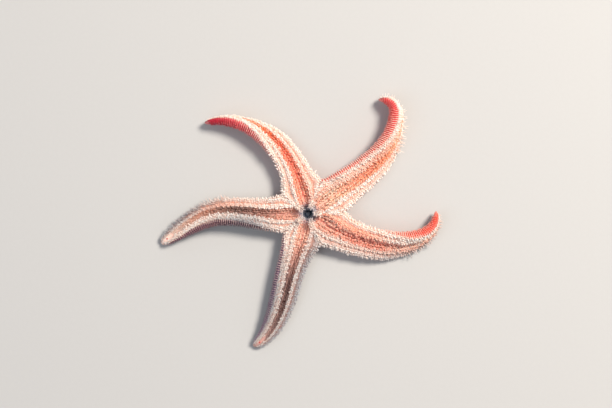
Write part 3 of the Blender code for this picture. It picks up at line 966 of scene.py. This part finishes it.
def makeGrainTree(name):
    # small round grains scattered over a patch, as thickly as its density attribute says
    sizes = {"Least Distance": 0.3 * mm, "Density": 8.0e6, "Width": 0.3 * mm, "Height Share": 0.8}
    tree, given, out = newTree(name, dict(sizes, Variation=0.3))
    strewn = {
        "Mesh": given["Geometry"],
        "Distance Min": given["Least Distance"],
        "Density Max": given["Density"],
        "Density Factor": named(tree, "density", "FLOAT"),
        "Seed": given["Seed"],
    }
    scatter = addNode(tree, "GeometryNodeDistributePointsOnFaces", strewn, distribute_method="POISSON")
    points, rotation = scatter.outputs["Points"], scatter.outputs["Rotation"]
    ball = geoNode(tree, "MeshUVSphere", {"Radius": 0.5, "Segments": 6, "Rings": 4})
    ball = storeNamed(tree, ball, "tipward", combine(tree, "ADD", separate(tree)[2], 0.5))
    ball = storeNamed(tree, ball, "tuftUv", geoNode(tree, "InputPosition"), "FLOAT_VECTOR")
    wide = varied(tree, times(tree, named(tree, "size", "FLOAT"), given["Width"]), given)
    scale = vectorOf(tree, wide, wide, times(tree, wide, given["Height Share"]))
    return finishTree(tree, given, points, ball, rotation, scale, out)


lengthInputs = ("Spacing", "Length", "Width", "Scatter", "Sink", "Least Distance")  # given in mm
spentMarks = ("rootUv", "tuftUv", "lean", "size", "density")


def grow(name, parts, tree, material, settings):
    # runs a tree on guides or patches, and keeps the result as a plain mesh
    sourceMesh = meshFrom(name, parts)
    source = newObject(name + "Guides", sourceMesh)
    modifier = source.modifiers.new("grow", "NODES")
    modifier.node_group = tree
    given = {key: value * mm if key in lengthInputs else value for key, value in settings.items()}
    given["Material"] = material
    for item in tree.interface.items_tree:
        if item.item_type == "SOCKET" and item.in_out == "INPUT" and item.name in given:
            modifier[item.identifier] = given[item.name]
    state = bpy.context.evaluated_depsgraph_get()
    mesh = bpy.data.meshes.new_from_object(source.evaluated_get(state), depsgraph=state)
    source.modifiers.remove(modifier)
    bpy.data.objects.remove(source)
    bpy.data.meshes.remove(sourceMesh)
    mesh.name = name
    for spent in spentMarks:
        if spent in mesh.attributes:
            mesh.attributes.remove(mesh.attributes[spent])
    return mesh


def joinMeshes(name, meshes):
    objects = [newObject(name, mesh) for mesh in meshes]
    with bpy.context.temp_override(active_object=objects[0], selected_editable_objects=objects):
        bpy.ops.object.join()
    joined = objects[0].data
    bpy.data.objects.remove(objects[0])
    return joined


guideStep = 0.5  # mm between the points of a guide


def guideFrom(arm, q, c, place, lean, size=1.0):
    values = dict(marks(arm, q, c, place), lean=lean, size=size * arm.growth(q))
    return {"points": place, "marks": values}


def guideAlong(arm, start, end, c, leanOut, leanTip):
    # a row at one place of the section, from start to end along the arm; start may lie on the disc
    q = np.arange(start, end, guideStep)
    c = c - math.copysign(1, c) * redShift(arm, q, c) * rise(abs(c), *changes["redUnderRows"])
    columns = c[:, None] + np.array([0, 0.15]) * np.sign(c[:, None])
    place = np.zeros((len(q), 2, 3))
    outward = np.zeros((len(q), 2, 3))
    onDisc = q < 0
    if onDisc.any():
        place[onDisc], outward[onDisc] = arm.discTop(1 + q[onDisc] / arm.apothem, columns[onDisc])
    if not onDisc.all():
        place[~onDisc], outward[~onDisc] = arm.surface(q[~onDisc], columns[~onDisc])
    side = unit(place[:, 1] - place[:, 0])
    forward = unit(np.gradient(place[:, 0], axis=0))
    return guideFrom(arm, q, c, place[:, 0], unit(outward[:, 0] + leanOut * side + leanTip * forward))


def guideAcross(arm, q, c, size=1.0):
    # a row across the arm, or round the disc's back where q is below 0
    place, outward = arm.discBack([1 + q / arm.apothem], c) if q < 0 else arm.surface([q], c)
    return guideFrom(arm, np.full(len(c), q), centred(c), place[0], outward[0], size)


spineProfile = ((0.0, 0.72), (0.3, 0.95), (0.6, 1.0), (0.8, 0.84), (0.92, 0.52), (1.0, 0.16))
footProfile = ((0.0, 0.92), (0.3, 0.74), (0.55, 0.68), (0.7, 0.8), (0.8, 1.0), (0.9, 0.86), (1.0, 0.35))
bristleProfile = ((0.0, 1.0), (0.5, 0.9), (0.9, 0.7), (1.0, 0.3))
spineTree = makeRowTree("spineRows", spineProfile, 6, 6)
spineletTree = makeRowTree("spineletRows", spineProfile, 5, 5)
bristleTree = makeRowTree("bristleRows", bristleProfile, 5, 6)
footTree = makeRowTree("tubeFootRows", footProfile, 7, 8)
grainTree = makeGrainTree("grains")
print("node trees built")

# rows on the mouth side of each arm, from the groove out: where in the section, how much they lean out and
# towards the tip, where on the disc they start, and spacing, length and width in mm
spineRows = {
    "groove": (4.3, -0.30, 0.15, -0.66, 0.62, 0.70, 0.64),
    "ridge": (5.1, 0.00, 0.20, -0.64, 0.64, 0.52, 0.78),
    "ridgeOuter": (5.8, 0.40, 0.10, -0.58, 0.66, 0.48, 0.76),
    "channel": (8.0, 0.10, 0.20, -0.50, 1.15, 0.55, 0.46),
    "lowerMargin": (9.0, 0.25, 0.20, -0.45, 0.66, 0.50, 0.76),
    "margin": (9.9, 0.35, 0.20, -0.35, 0.62, 0.60, 0.74),
    "fringe": (10.7, 0.10, 0.25, -0.05, 0.60, 0.74, 0.54),
}
# the spines swell and shrink along a row, in tufts a few plates long
tufts = {"plates": 2.0, "swell": 0.3}
spineLooks = {"Bend": 0.4, "Variation": 0.38, "Tilt Jitter": 0.18, "Scatter": 0.2, "Sink": 0.16}
bareTip = 1.0  # mm of an arm's end without rows


def growSpines(arm, seed, material):
    meshes = []
    for n, (name, (c, leanOut, leanTip, start, spacing, length, width)) in enumerate(spineRows.items()):
        guides = []
        for side in (-1, 1):
            guide = guideAlong(arm, start * arm.apothem, arm.reach - bareTip, side * c, leanOut, leanTip)
            turns = 2 * math.pi * guide["marks"]["row"] / tufts["plates"] + side * n
            guide["marks"]["size"] *= 1 + tufts["swell"] * np.cos(turns)
            guides.append(guide)
        looks = dict(spineLooks, Spacing=spacing, Length=length, Width=width, Seed=seed + 100 * n)
        meshes.append(grow(name + arm.name, guides, spineTree, material, looks))
    return joinMeshes(f"spines_{arm.name}", meshes)


# small spines across the back: the columns at both ends of a row, how far apart the disc's rows are, how much
# larger they grow in the middle and towards the tip, and where rows and the middle line begin and end
backRows = {
    "firstColumn": 11.6,
    "discColumn": 11.3,
    "discStep": 1.0,
    "middleSize": 1.5,
    "tipGrowth": 0.5,
    "points": 30,
    "bareTip": 1.2,
    "middleStart": 0.6,
    "middleStop": 2.5,
    "looks": dict(spineLooks, Spacing=0.52, Length=0.50, Width=0.36, Scatter=0.09, Sink=0.1),
}


def growBackRows(arm, seed, material):
    guides = []
    for n in range(1, int((arm.reach - backRows["bareTip"]) / skin["rowPitch"])):
        q = n * skin["rowPitch"]
        left, right = (backRows["firstColumn"] - float(redShift(arm, q, side)) for side in (1.0, -1.0))
        columns = np.linspace(left, 32 - right, backRows["points"])  # from one margin round the back
        guides.append(guideAcross(arm, q, columns, 1 + backRows["tipGrowth"] * q / arm.reach))
    q = np.arange(backRows["middleStart"], arm.reach - backRows["middleStop"], guideStep)
    place, outward = arm.surface(q, np.array([16.0]))
    middle = np.full(len(q), -16.0)
    guides.append(guideFrom(arm, q, middle, place[:, 0], outward[:, 0], backRows["middleSize"]))
    columns = np.linspace(backRows["discColumn"], 32 - backRows["discColumn"], backRows["points"])
    for n in range(1, int(arm.apothem / backRows["discStep"]) - 1):
        guides.append(guideAcross(arm, -n * backRows["discStep"], columns))
    return grow(f"spinelets_{arm.name}", guides, spineletTree, material, dict(backRows["looks"], Seed=seed))


# tube feet stand in columns on both sides of the groove, and are smaller at the mouth
feet = {
    "columns": (0.95, 2.3),
    "start": -0.68,
    "stagger": 0.55,
    "stopBefore": 7.0,
    "leanOut": -0.25,
    "leanTip": 0.1,
    "leanShare": 0.2,
    "mouthSmaller": 0.5,
    "looks": dict(spineLooks, Spacing=0.66, Length=0.70, Width=1.22, Variation=0.25, Scatter=0.16, Sink=0.2)
    | {"Tilt Jitter": 0.25},
    "sucker": "FFE2D2",
    "nearMouth": "9C9098",
    "shadeShare": 0.35,
    "suckerReach": (0.65, 0.95, 0.0, 0.15),
    "grain": (6000.0, 0.25, 0.00004),
}


def growFeet(arm, seed, material):
    guides = []
    for n, c in enumerate(feet["columns"]):
        start = feet["start"] * arm.apothem + feet["stagger"] * n
        for side in (-1, 1):
            end = arm.reach - feet["stopBefore"]
            guides.append(guideAlong(arm, start, end, side * c, feet["leanOut"], feet["leanTip"]))
    for guide in guides:
        values = guide["marks"]
        q = values["row"] * skin["rowPitch"]
        values["size"] *= arm.facts["grooveWide"] * grooveFlare(q)
        values["size"] *= 1 + feet["mouthSmaller"] * np.minimum(q, 0) / arm.apothem
        values["lean"] = unit(values["lean"] * feet["leanShare"] + arm.frameAt(np.maximum(q, 0))[2])
    return grow(f"tubeFeet_{arm.name}", guides, footTree, material, dict(feet["looks"], Seed=seed))


def patchGrid(arm, q, c, density, onDisc=False):
    # a piece of the skin's surface that grains are scattered on
    place = (arm.discTop(1 + q / arm.apothem, c) if onDisc else arm.surface(q, c))[0]
    grid = makeGrid(arm, place, q, centred(c), np.zeros((len(q), len(c), 2)))
    grid["marks"]["size"] = np.repeat(arm.growth(q), len(c))
    grid["marks"]["density"] = density(np.repeat(q, len(c)), grid["marks"]["across"])
    return grid


grainLooks = {"Least Distance": 0.40, "Density": 9.0e6, "Width": 0.48, "Height Share": 0.6, "Variation": 0.35}
gillLooks = dict(grainLooks, **{"Least Distance": 0.50, "Width": 0.27, "Height Share": 1.5})


def channelDensity(q, across):
    thick = np.interp(across, [5.6, 6.2, 7.8, 9.0, 11.0, 11.4], [0.0, 1.0, 1.0, 0.6, 0.6, 0.0])
    return np.where(q < 0, np.interp(across, [5.6, 6.2, 11.0], [0.0, 1.0, 1.0]), thick)


def betweenRows(q, across):
    return np.clip(-np.cos(2 * math.pi * q / skin["rowPitch"]), 0, 1) * (across > 11.3)


def growGrains(arm, seed, material):
    stations = np.arange(0.0, arm.reach - bareTip, 0.3)
    grids = [patchGrid(arm, stations, np.linspace(-11, 11, 44), channelDensity)]
    for side in (-1, 1):
        columns = side * np.linspace(5.5, 11, 12)[::side]
        grids.append(patchGrid(arm, np.linspace(-0.66, 0, 24) * arm.apothem, columns, channelDensity, True))
    return grow(f"granules_{arm.name}", grids, grainTree, material, dict(grainLooks, Seed=seed))


def growGills(arm, seed, material):
    stations = np.arange(0.0, arm.reach - bareTip, 0.2)
    grid = patchGrid(arm, stations, np.linspace(8.5, 23.5, 40), betweenRows)
    return grow(f"skinGills_{arm.name}", [grid], grainTree, material, dict(gillLooks, Seed=seed))


# long soft feet reaching out past the edge, where the arm is turned on its side; an arm has the place of the
# first of two columns, where they start and end as shares of the arm, and their length
reachingFeet = {
    "b": (-9.6, 0.42, 0.93, 1.5),
    "d": (-8.6, 0.60, 0.97, 1.7),
    "e": (-8.2, 0.52, 0.97, 1.7),
    "apart": 1.6,
    "stagger": 0.4,
    "leans": (0.3, 0.2),
    "looks": dict(spineLooks, Spacing=0.72, Width=0.34, Bend=1.5, Variation=0.45, Sink=0.2)
    | {"Tilt Jitter": 0.5},
}


def growReachingFeet(arm, seed, material):
    c, start, end, length = reachingFeet[arm.name]
    guides = []
    for n in (0, 1):
        first, column = start * arm.reach + reachingFeet["stagger"] * n, c + reachingFeet["apart"] * n
        guides.append(guideAlong(arm, first, end * arm.reach, column, *reachingFeet["leans"]))
    looks = dict(reachingFeet["looks"], Length=length, Seed=seed)
    return grow(f"reachingFeet_{arm.name}", guides, bristleTree, material, looks)



def makeFootMaterial():
    material, tree = newMaterial("tubeFeet", 0.45, coat=0.1, subsurface=0.85)
    groove = attribute(tree, "grooveColour", "Color")
    tip = mapped(tree, attribute(tree, "tipward"), *feet["suckerReach"])
    sucker = mixColour(tree, tip, groove, linear(feet["sucker"]))
    # painted shade on the feet, weaker than on the body wall
    colour = mouthGreyed(tree, shadeTinted(tree, sucker, feet["shadeShare"]), feet["nearMouth"])
    finishMaterial(material, colour, feet["grain"])
    return material


spineMaterial = makeSpineMaterial("chalkSpines", "FFF0E2", 0.9)
spineletMaterial = makeSpineMaterial("backSpinelets", "FFCCBA", 0.6, True)
granuleMaterial = makeSpineMaterial("granules", "FFE6D8", 0.55)
gillMaterial = makeSpineMaterial("skinGills", "E86058", 0.3, True)
footMaterial = makeFootMaterial()

# what grows on every arm: its maker, first seed, material and slot
coat = {
    "spines": (growSpines, 11, spineMaterial, "skin"),
    "spinelets": (growBackRows, 31, spineletMaterial, "skin"),
    "tubeFeet": (growFeet, 51, footMaterial, "tube_feet"),
    "granules": (growGrains, 71, granuleMaterial, "skin"),
    "skinGills": (growGills, 91, gillMaterial, "skin"),
    "reachingFeet": (growReachingFeet, 111, spineMaterial, "tube_feet"),
}
for n, arm in enumerate(arms):
    for kind, (growKind, seed, material, slot) in coat.items():
        if kind == "reachingFeet" and arm.name not in reachingFeet:
            continue
        nodes = [f"tube_feet_{arm.name}"] if kind == "tubeFeet" else []
        addPiece(f"{kind}_{arm.name}", growKind(arm, seed + n, material), material, slot, *nodes)
    print("coat of arm", arm.name)


# the smaller parts
def sheetMesh(name, points, capEnds=True):
    # a closed tube through a grid of points in mm; round it is the second way of the grid
    rows, columns = points.shape[:2]
    index = np.arange(rows * columns).reshape(rows, columns)
    mesh = bpy.data.meshes.new(name)
    mesh.from_pydata(points.reshape(-1, 3) * mm, [], gridQuads(np.concatenate([index, index[:, :1]], 1)))
    return closeMesh(mesh, capEnds)


def middleOf(node):
    low, high = (np.array(corner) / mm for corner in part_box(node))
    return (low + high) / 2


def makeSpeckled(name, roughness, coat, specks, colours, grain, near=None):
    # two colours in specks of some scale and detail; near is another two towards the mouth, and its reach
    material, tree = newMaterial(name, roughness, coat)
    amount = noise(tree, *specks)
    colour = mixColour(tree, amount, *map(linear, colours))
    if near:
        inner = mixColour(tree, amount, *map(linear, near[:2]))
        far = addNode(tree, "ShaderNodeVectorMath", {0: objectPlace(tree)}, operation="LENGTH")
        colour = mixColour(tree, mapped(tree, far.outputs["Value"], *near[2:]), inner, colour)
    finishMaterial(material, colour, grain)
    return material


# the lip's colours near the mouth's middle are a dark blue-grey, partly its own colour and partly painted
# shade of the opening
mouthLip = {
    "middle": 2.35,
    "wide": 0.95,
    "tall": 0.42,
    "pleats": 21,
    "pleatDepth": 0.13,
    "long": 1.12,
    "turn": 20.0,
    "inwardDrop": 0.5,
    "rise": 0.1,
    "looks": dict(roughness=0.35, coat=0.35, specks=(1300.0, 4.0), colours=("6E6872", "A89A9C"),
                  near=("2E3A46", "56626E", 0.0054, 0.0066), grain=(3000.0, 0.5, 0.0001)),
}


def makeMouthLip():
    # the soft lip round the mouth: a ring with pleats that run into the opening
    centre = middleOf("mouth")
    tt, rr = np.meshgrid(fullCircle(168), fullCircle(20), indexing="ij")
    pleat = np.cos(mouthLip["pleats"] * tt + 1.3 * np.sin(3 * tt)) * mouthLip["pleatDepth"]
    wander = 1 + 0.06 * np.sin(2 * tt + 0.6) + 0.04 * np.sin(5 * tt)
    inward = (1 - np.cos(rr)) / 2
    radius = mouthLip["middle"] * wander + (mouthLip["wide"] + pleat * inward) * np.cos(rr)
    height = (mouthLip["tall"] + pleat * np.clip(np.sin(rr), 0, 1)) * np.sin(rr)
    height = height - mouthLip["inwardDrop"] * inward**2
    longWay, shortWay = bearing(mouthLip["turn"]), bearing(mouthLip["turn"] + 90)
    x = radius * np.cos(tt) * mouthLip["long"]
    y = radius * np.sin(tt) / mouthLip["long"]
    place = raised(x[..., None] * longWay + y[..., None] * shortWay, height)
    points = place + [centre[0], centre[1], centre[2] + mouthLip["rise"]]
    return sheetMesh("mouthLip", np.concatenate([points, points[:1]]), capEnds=False)


jaw = {
    "inner": 2.7,
    "outer": 5.9,
    "innerHalf": 0.55,
    "outerHalf": 1.25,
    "tall": 0.5,
    "furrow": 0.28,
    "furrowHalf": 0.22,
    "drop": 0.15,
    "innerDrop": 0.35,
    "corner": 0.8,
    "waves": 16,
    "waveHeight": 0.05,
    "looks": dict(roughness=0.45, coat=0.15, specks=(900.0, 4.0), colours=("D9B9A6", "F4E6D6"),
                  near=("A89CA0", "A89CA0", 0.0085, 0.0105), grain=(4200.0, 0.6, 0.00008)),
}
# spines down both sides of a jaw in two rows, leaning over the mouth
jawSpines = {
    "insets": (0.35, 0.85),
    "rise": 0.1,
    "leanIn": 0.8,
    "leanOut": 0.55,
    "mouthShare": 0.55,
    "looks": dict(spineLooks, Spacing=0.42, Length=1.25, Width=0.36, Scatter=0.08, Seed=7),
}


def onJaw(turn, u, sideways):
    # places in the plan along a jaw, from its point to its root; sideways is a share of its half width
    outwards = bearing(turn)
    across = np.array([-outwards[1], outwards[0]])
    far = between(jaw["inner"], jaw["outer"], u)
    side = between(jaw["innerHalf"], jaw["outerHalf"], u) * sideways
    return far[..., None] * outwards + side[..., None] * across, side, outwards, across


def jawPoints(turn, centre):
    # a pair of plates with a furrow between them, rounded at both ends
    uu, vv = np.meshgrid((1 - np.cos(math.pi * np.linspace(0, 1, 25))) / 2, fullCircle(36), indexing="ij")
    rounded = np.sqrt(np.clip(1 - np.abs(2 * uu - 1) ** 3.5, 0.0, 1))
    squared = [np.sign(wave) * np.abs(wave) ** jaw["corner"] for wave in (np.cos(vv), np.sin(vv))]
    plan, side, _, _ = onJaw(turn, uu, rounded * squared[0])
    high = squared[1] * jaw["tall"] * rounded
    high -= jaw["furrow"] * np.exp(-((side / jaw["furrowHalf"]) ** 2)) * (high > 0) * rounded
    high += jaw["waveHeight"] * np.cos(uu * jaw["waves"]) * (high > 0)
    return raised(plan, centre[2] - jaw["drop"] - jaw["innerDrop"] * (1 - uu) + high)


def jawGuides(turn, centre):
    guides = []
    u = np.linspace(0.06, 0.95, 9)
    one = np.ones(len(u))
    for side in (-1, 1):
        for inset in jawSpines["insets"]:
            plan, _, outwards, across = onJaw(turn, u, inset * side)
            place = raised(plan, one * (centre[2] + jawSpines["rise"]))
            tilt = -jawSpines["leanIn"] * (1 - u)[:, None] * outwards
            tilt = tilt + side * (jawSpines["leanOut"] * inset) * across
            values = marks(arms[0], one * -6.0, one * 5.0, place)
            values.update(lean=unit(raised(tilt, one)), size=one)
            values["mouthNear"] = values["mouthNear"] * jawSpines["mouthShare"]
            guides.append({"points": place, "marks": values})
    return guides


def makeJaws():
    material = makeSpeckled("jawPlates", **jaw["looks"])
    guides = []
    for pair, (turn, _) in zip(("ea", "ab", "bc", "cd", "de"), body["notches"]):
        centre = middleOf(f"jaw_{pair}")
        plates = sheetMesh("jaw", jawPoints(turn, centre))
        addPiece(f"jaw_{pair}Plates", plates, material, "jaws", f"jaw_{pair}")
        guides += jawGuides(turn, centre)
    mesh = grow("mouthSpines", guides, spineTree, spineMaterial, jawSpines["looks"])
    addPiece("mouthSpines", mesh, spineMaterial, "jaws")


sievePlate = {
    "radius": 1.05,
    "dome": 0.32,
    "thick": 0.3,
    "furrows": 26,
    "depth": 0.07,
    "outward": 0.62,
    "down": 0.78,
    "looks": dict(roughness=0.6, coat=0.0, specks=(2600.0, 3.0), colours=("D8A070", "F6DDB8"),
                  grain=(5200.0, 0.5, 0.00006)),
}


def tangents(facing):
    # two directions across the one that a small part faces
    sideways = unit(np.cross(facing, [0.0, 0.0, 1.0]))
    return sideways, np.cross(sideways, facing)


def makeSievePlate():
    # a low dome scored by furrows that fork towards its rim, facing out under the disc
    centre = middleOf("sieve_plate")
    level = unit(np.array([centre[0], centre[1], 0.0]))
    facing = unit(level * sievePlate["outward"] - np.array([0, 0, sievePlate["down"]]))
    sideways, upwards = tangents(facing)
    rr, tt = np.meshgrid(np.linspace(0.02, 1, 18), fullCircle(104), indexing="ij")
    furrow = np.cos(sievePlate["furrows"] * tt + 2.2 * np.sin(5 * rr * 3 + 3 * tt))
    furrow = furrow * (0.25 + 0.75 * ease(rr * 1.6))
    out = sievePlate["dome"] * (1 - rr**2) + sievePlate["depth"] * furrow * (1 - rr**8)
    plan = sievePlate["radius"] * rr
    flat = np.stack([plan * np.cos(tt), plan * np.sin(tt), out], -1)
    rim = flat[-1:] * [1.0, 1.0, 0.0] - [0.0, 0.0, sievePlate["thick"]]
    flat = np.concatenate([flat, rim])
    points = centre + flat[..., :1] * sideways + flat[..., 1:2] * upwards + flat[..., 2:] * facing
    points[..., 2] = np.maximum(points[..., 2], skin["lowest"])
    return sheetMesh("sievePlate", points)


tipPlate = {"length": 2.0, "edge": 0.7, "lift": 0.14, "under": 0.12, "bumps": 0.05, "pale": "F8CDBA"}


def makeTipPlate(arm):
    # the plate that caps an arm's end, wrapped over its back
    q = np.linspace(arm.reach - tipPlate["length"], arm.reach - 0.02, 20)
    c = np.linspace(11.0, 21.0, 31)
    qq, cc = np.meshgrid(q, c, indexing="ij")
    edge = np.sin(math.pi * (cc - 11) / 10) ** 0.5 * rise(qq, q[0], tipPlate["edge"])
    bumps = tipPlate["bumps"] * np.cos(qq * 9) * np.cos(cc * 3.1)
    top = arm.surface(q, c, (tipPlate["lift"] + bumps) * edge)[0]
    bottom = arm.surface(q, c, np.full(qq.shape, -tipPlate["under"]))[0]
    mesh = sheetMesh("tipPlate", np.concatenate([top, bottom[:, ::-1]], 1))
    colour = (*linear(armColours[arm.name]["tip"]), 1.0)
    storeMark(mesh, "tipColour", np.tile(colour, (len(mesh.vertices), 1)))
    return mesh


def makeTipMaterial():
    material, tree = newMaterial("tipPlates", 0.45, coat=0.15)
    pale = mapped(tree, noise(tree, 1500.0, 3.0), 0.4, 0.65, 0.0, 0.5)
    colour = mixColour(tree, pale, attribute(tree, "tipColour", "Color"), linear(tipPlate["pale"]))
    finishMaterial(material, colour, (5200.0, 0.5, 0.00006))
    return material


eyespot = {
    "bead": 0.15,
    "ring": 0.24,
    "count": 6,
    "middleRise": 0.1,
    "looks": dict(roughness=0.2, coat=0.6, specks=(3000.0, 2.0), colours=("8E1010", "D8321E"),
                  grain=(6000.0, 0.2, 0.00003)),
}


def makeEyespot(arm):
    # a cushion of red beads in the end of the groove, on the skin nearest to the solid eyespot
    centre = middleOf(f"eyespot_{arm.name}")
    q = np.linspace(arm.reach - 4.0, arm.reach - 0.5, 36)
    places, directions = arm.surface(q, np.linspace(-3.0, 3.0, 25))
    nearest = np.unravel_index(np.argmin(np.linalg.norm(places - centre, axis=-1)), places.shape[:2])
    centre, outward = places[nearest], directions[nearest]
    sideways, upwards = tangents(outward)
    beads = [(eyespot["ring"], turn, 0.0) for turn in fullCircle(eyespot["count"])]
    shape = bmesh.new()
    for far, turn, rise in beads + [(0.0, 0.0, eyespot["middleRise"])]:
        made = bmesh.ops.create_icosphere(shape, subdivisions=2, radius=eyespot["bead"] * mm)
        plan = far * (math.cos(turn) * sideways + math.sin(turn) * upwards)
        bmesh.ops.translate(shape, verts=made["verts"], vec=(centre + plan + outward * rise) * mm)
    return keepShape(shape, bpy.data.meshes.new("eyespot"))


addPiece("mouthLip", makeMouthLip(), makeSpeckled("mouthSkin", **mouthLip["looks"]), "mouth", "mouth")
makeJaws()
sieveMaterial = makeSpeckled("sieveStone", **sievePlate["looks"])
addPiece("sievePlate", makeSievePlate(), sieveMaterial, "sieve_plate", "sieve_plate")
tipMaterial = makeTipMaterial()
eyeMaterial = makeSpeckled("eyeRed", **eyespot["looks"])
for arm in arms:
    addPiece(f"tipPlate_{arm.name}", makeTipPlate(arm), tipMaterial, "tip_plates", f"arm_{arm.name}_tip")
    addPiece(f"eyeBeads_{arm.name}", makeEyespot(arm), eyeMaterial, "eyespots", f"eyespot_{arm.name}")
print("mouth, jaws, sieve plate and arm ends")


# floor, camera and light; a light has its place, size, power and colour
studio = {
    "floor": "BDBAB6",
    "floorSize": 4.0,
    "floorDrop": 0.00002,
    "lens": 70.0,
    "fieldWidth": 0.26316,
    "lookAt": (-0.00095, 0.0041, 0.006),
    "ambient": 0.42,
    "ambientColour": (0.86, 0.9, 1.0, 1.0),
    "key": ((0.65, 0.50, 1.0), 0.42, 23.5, (1.0, 0.95, 0.88)),
    "fill": ((-0.7, -0.3, 0.9), 0.9, 3.0, (0.82, 0.9, 1.0)),
}


def addLight(name):
    data = bpy.data.lights.new(name, "AREA")
    data.shape = "DISK"
    place, data.size, data.energy, data.color = studio[name]
    light = newObject(name, data)
    light.location = place
    light.rotation_euler = (-light.location).to_track_quat("-Z", "Y").to_euler()


def makeStudio():
    bpy.ops.mesh.primitive_plane_add(size=studio["floorSize"], location=(0, 0, -studio["floorDrop"]))
    floor = bpy.context.object
    floor.name = "floor"
    material, tree = newMaterial("floorPaper", 0.8)
    pale = linear(studio["floor"])
    darker = tuple(0.96 * value for value in pale)
    finishMaterial(material, mixColour(tree, noise(tree, 700.0, 4.0), darker, pale))
    floor.data.materials.append(material)
    world = bpy.data.worlds.new("studio")
    world.use_nodes = True
    world.node_tree.nodes["Background"].inputs["Color"].default_value = studio["ambientColour"]
    world.node_tree.nodes["Background"].inputs["Strength"].default_value = studio["ambient"]
    bpy.context.scene.world = world
    addLight("key")
    addLight("fill")
    data = bpy.data.cameras.new("camera")
    data.lens = studio["lens"]
    camera = newObject("camera", data)
    x, y, z = studio["lookAt"]
    camera.location = (x, y, z + studio["fieldWidth"] * data.lens / data.sensor_width)
    bpy.context.scene.camera = camera
    bpy.context.scene.view_settings.view_transform = "Standard"


makeStudio()
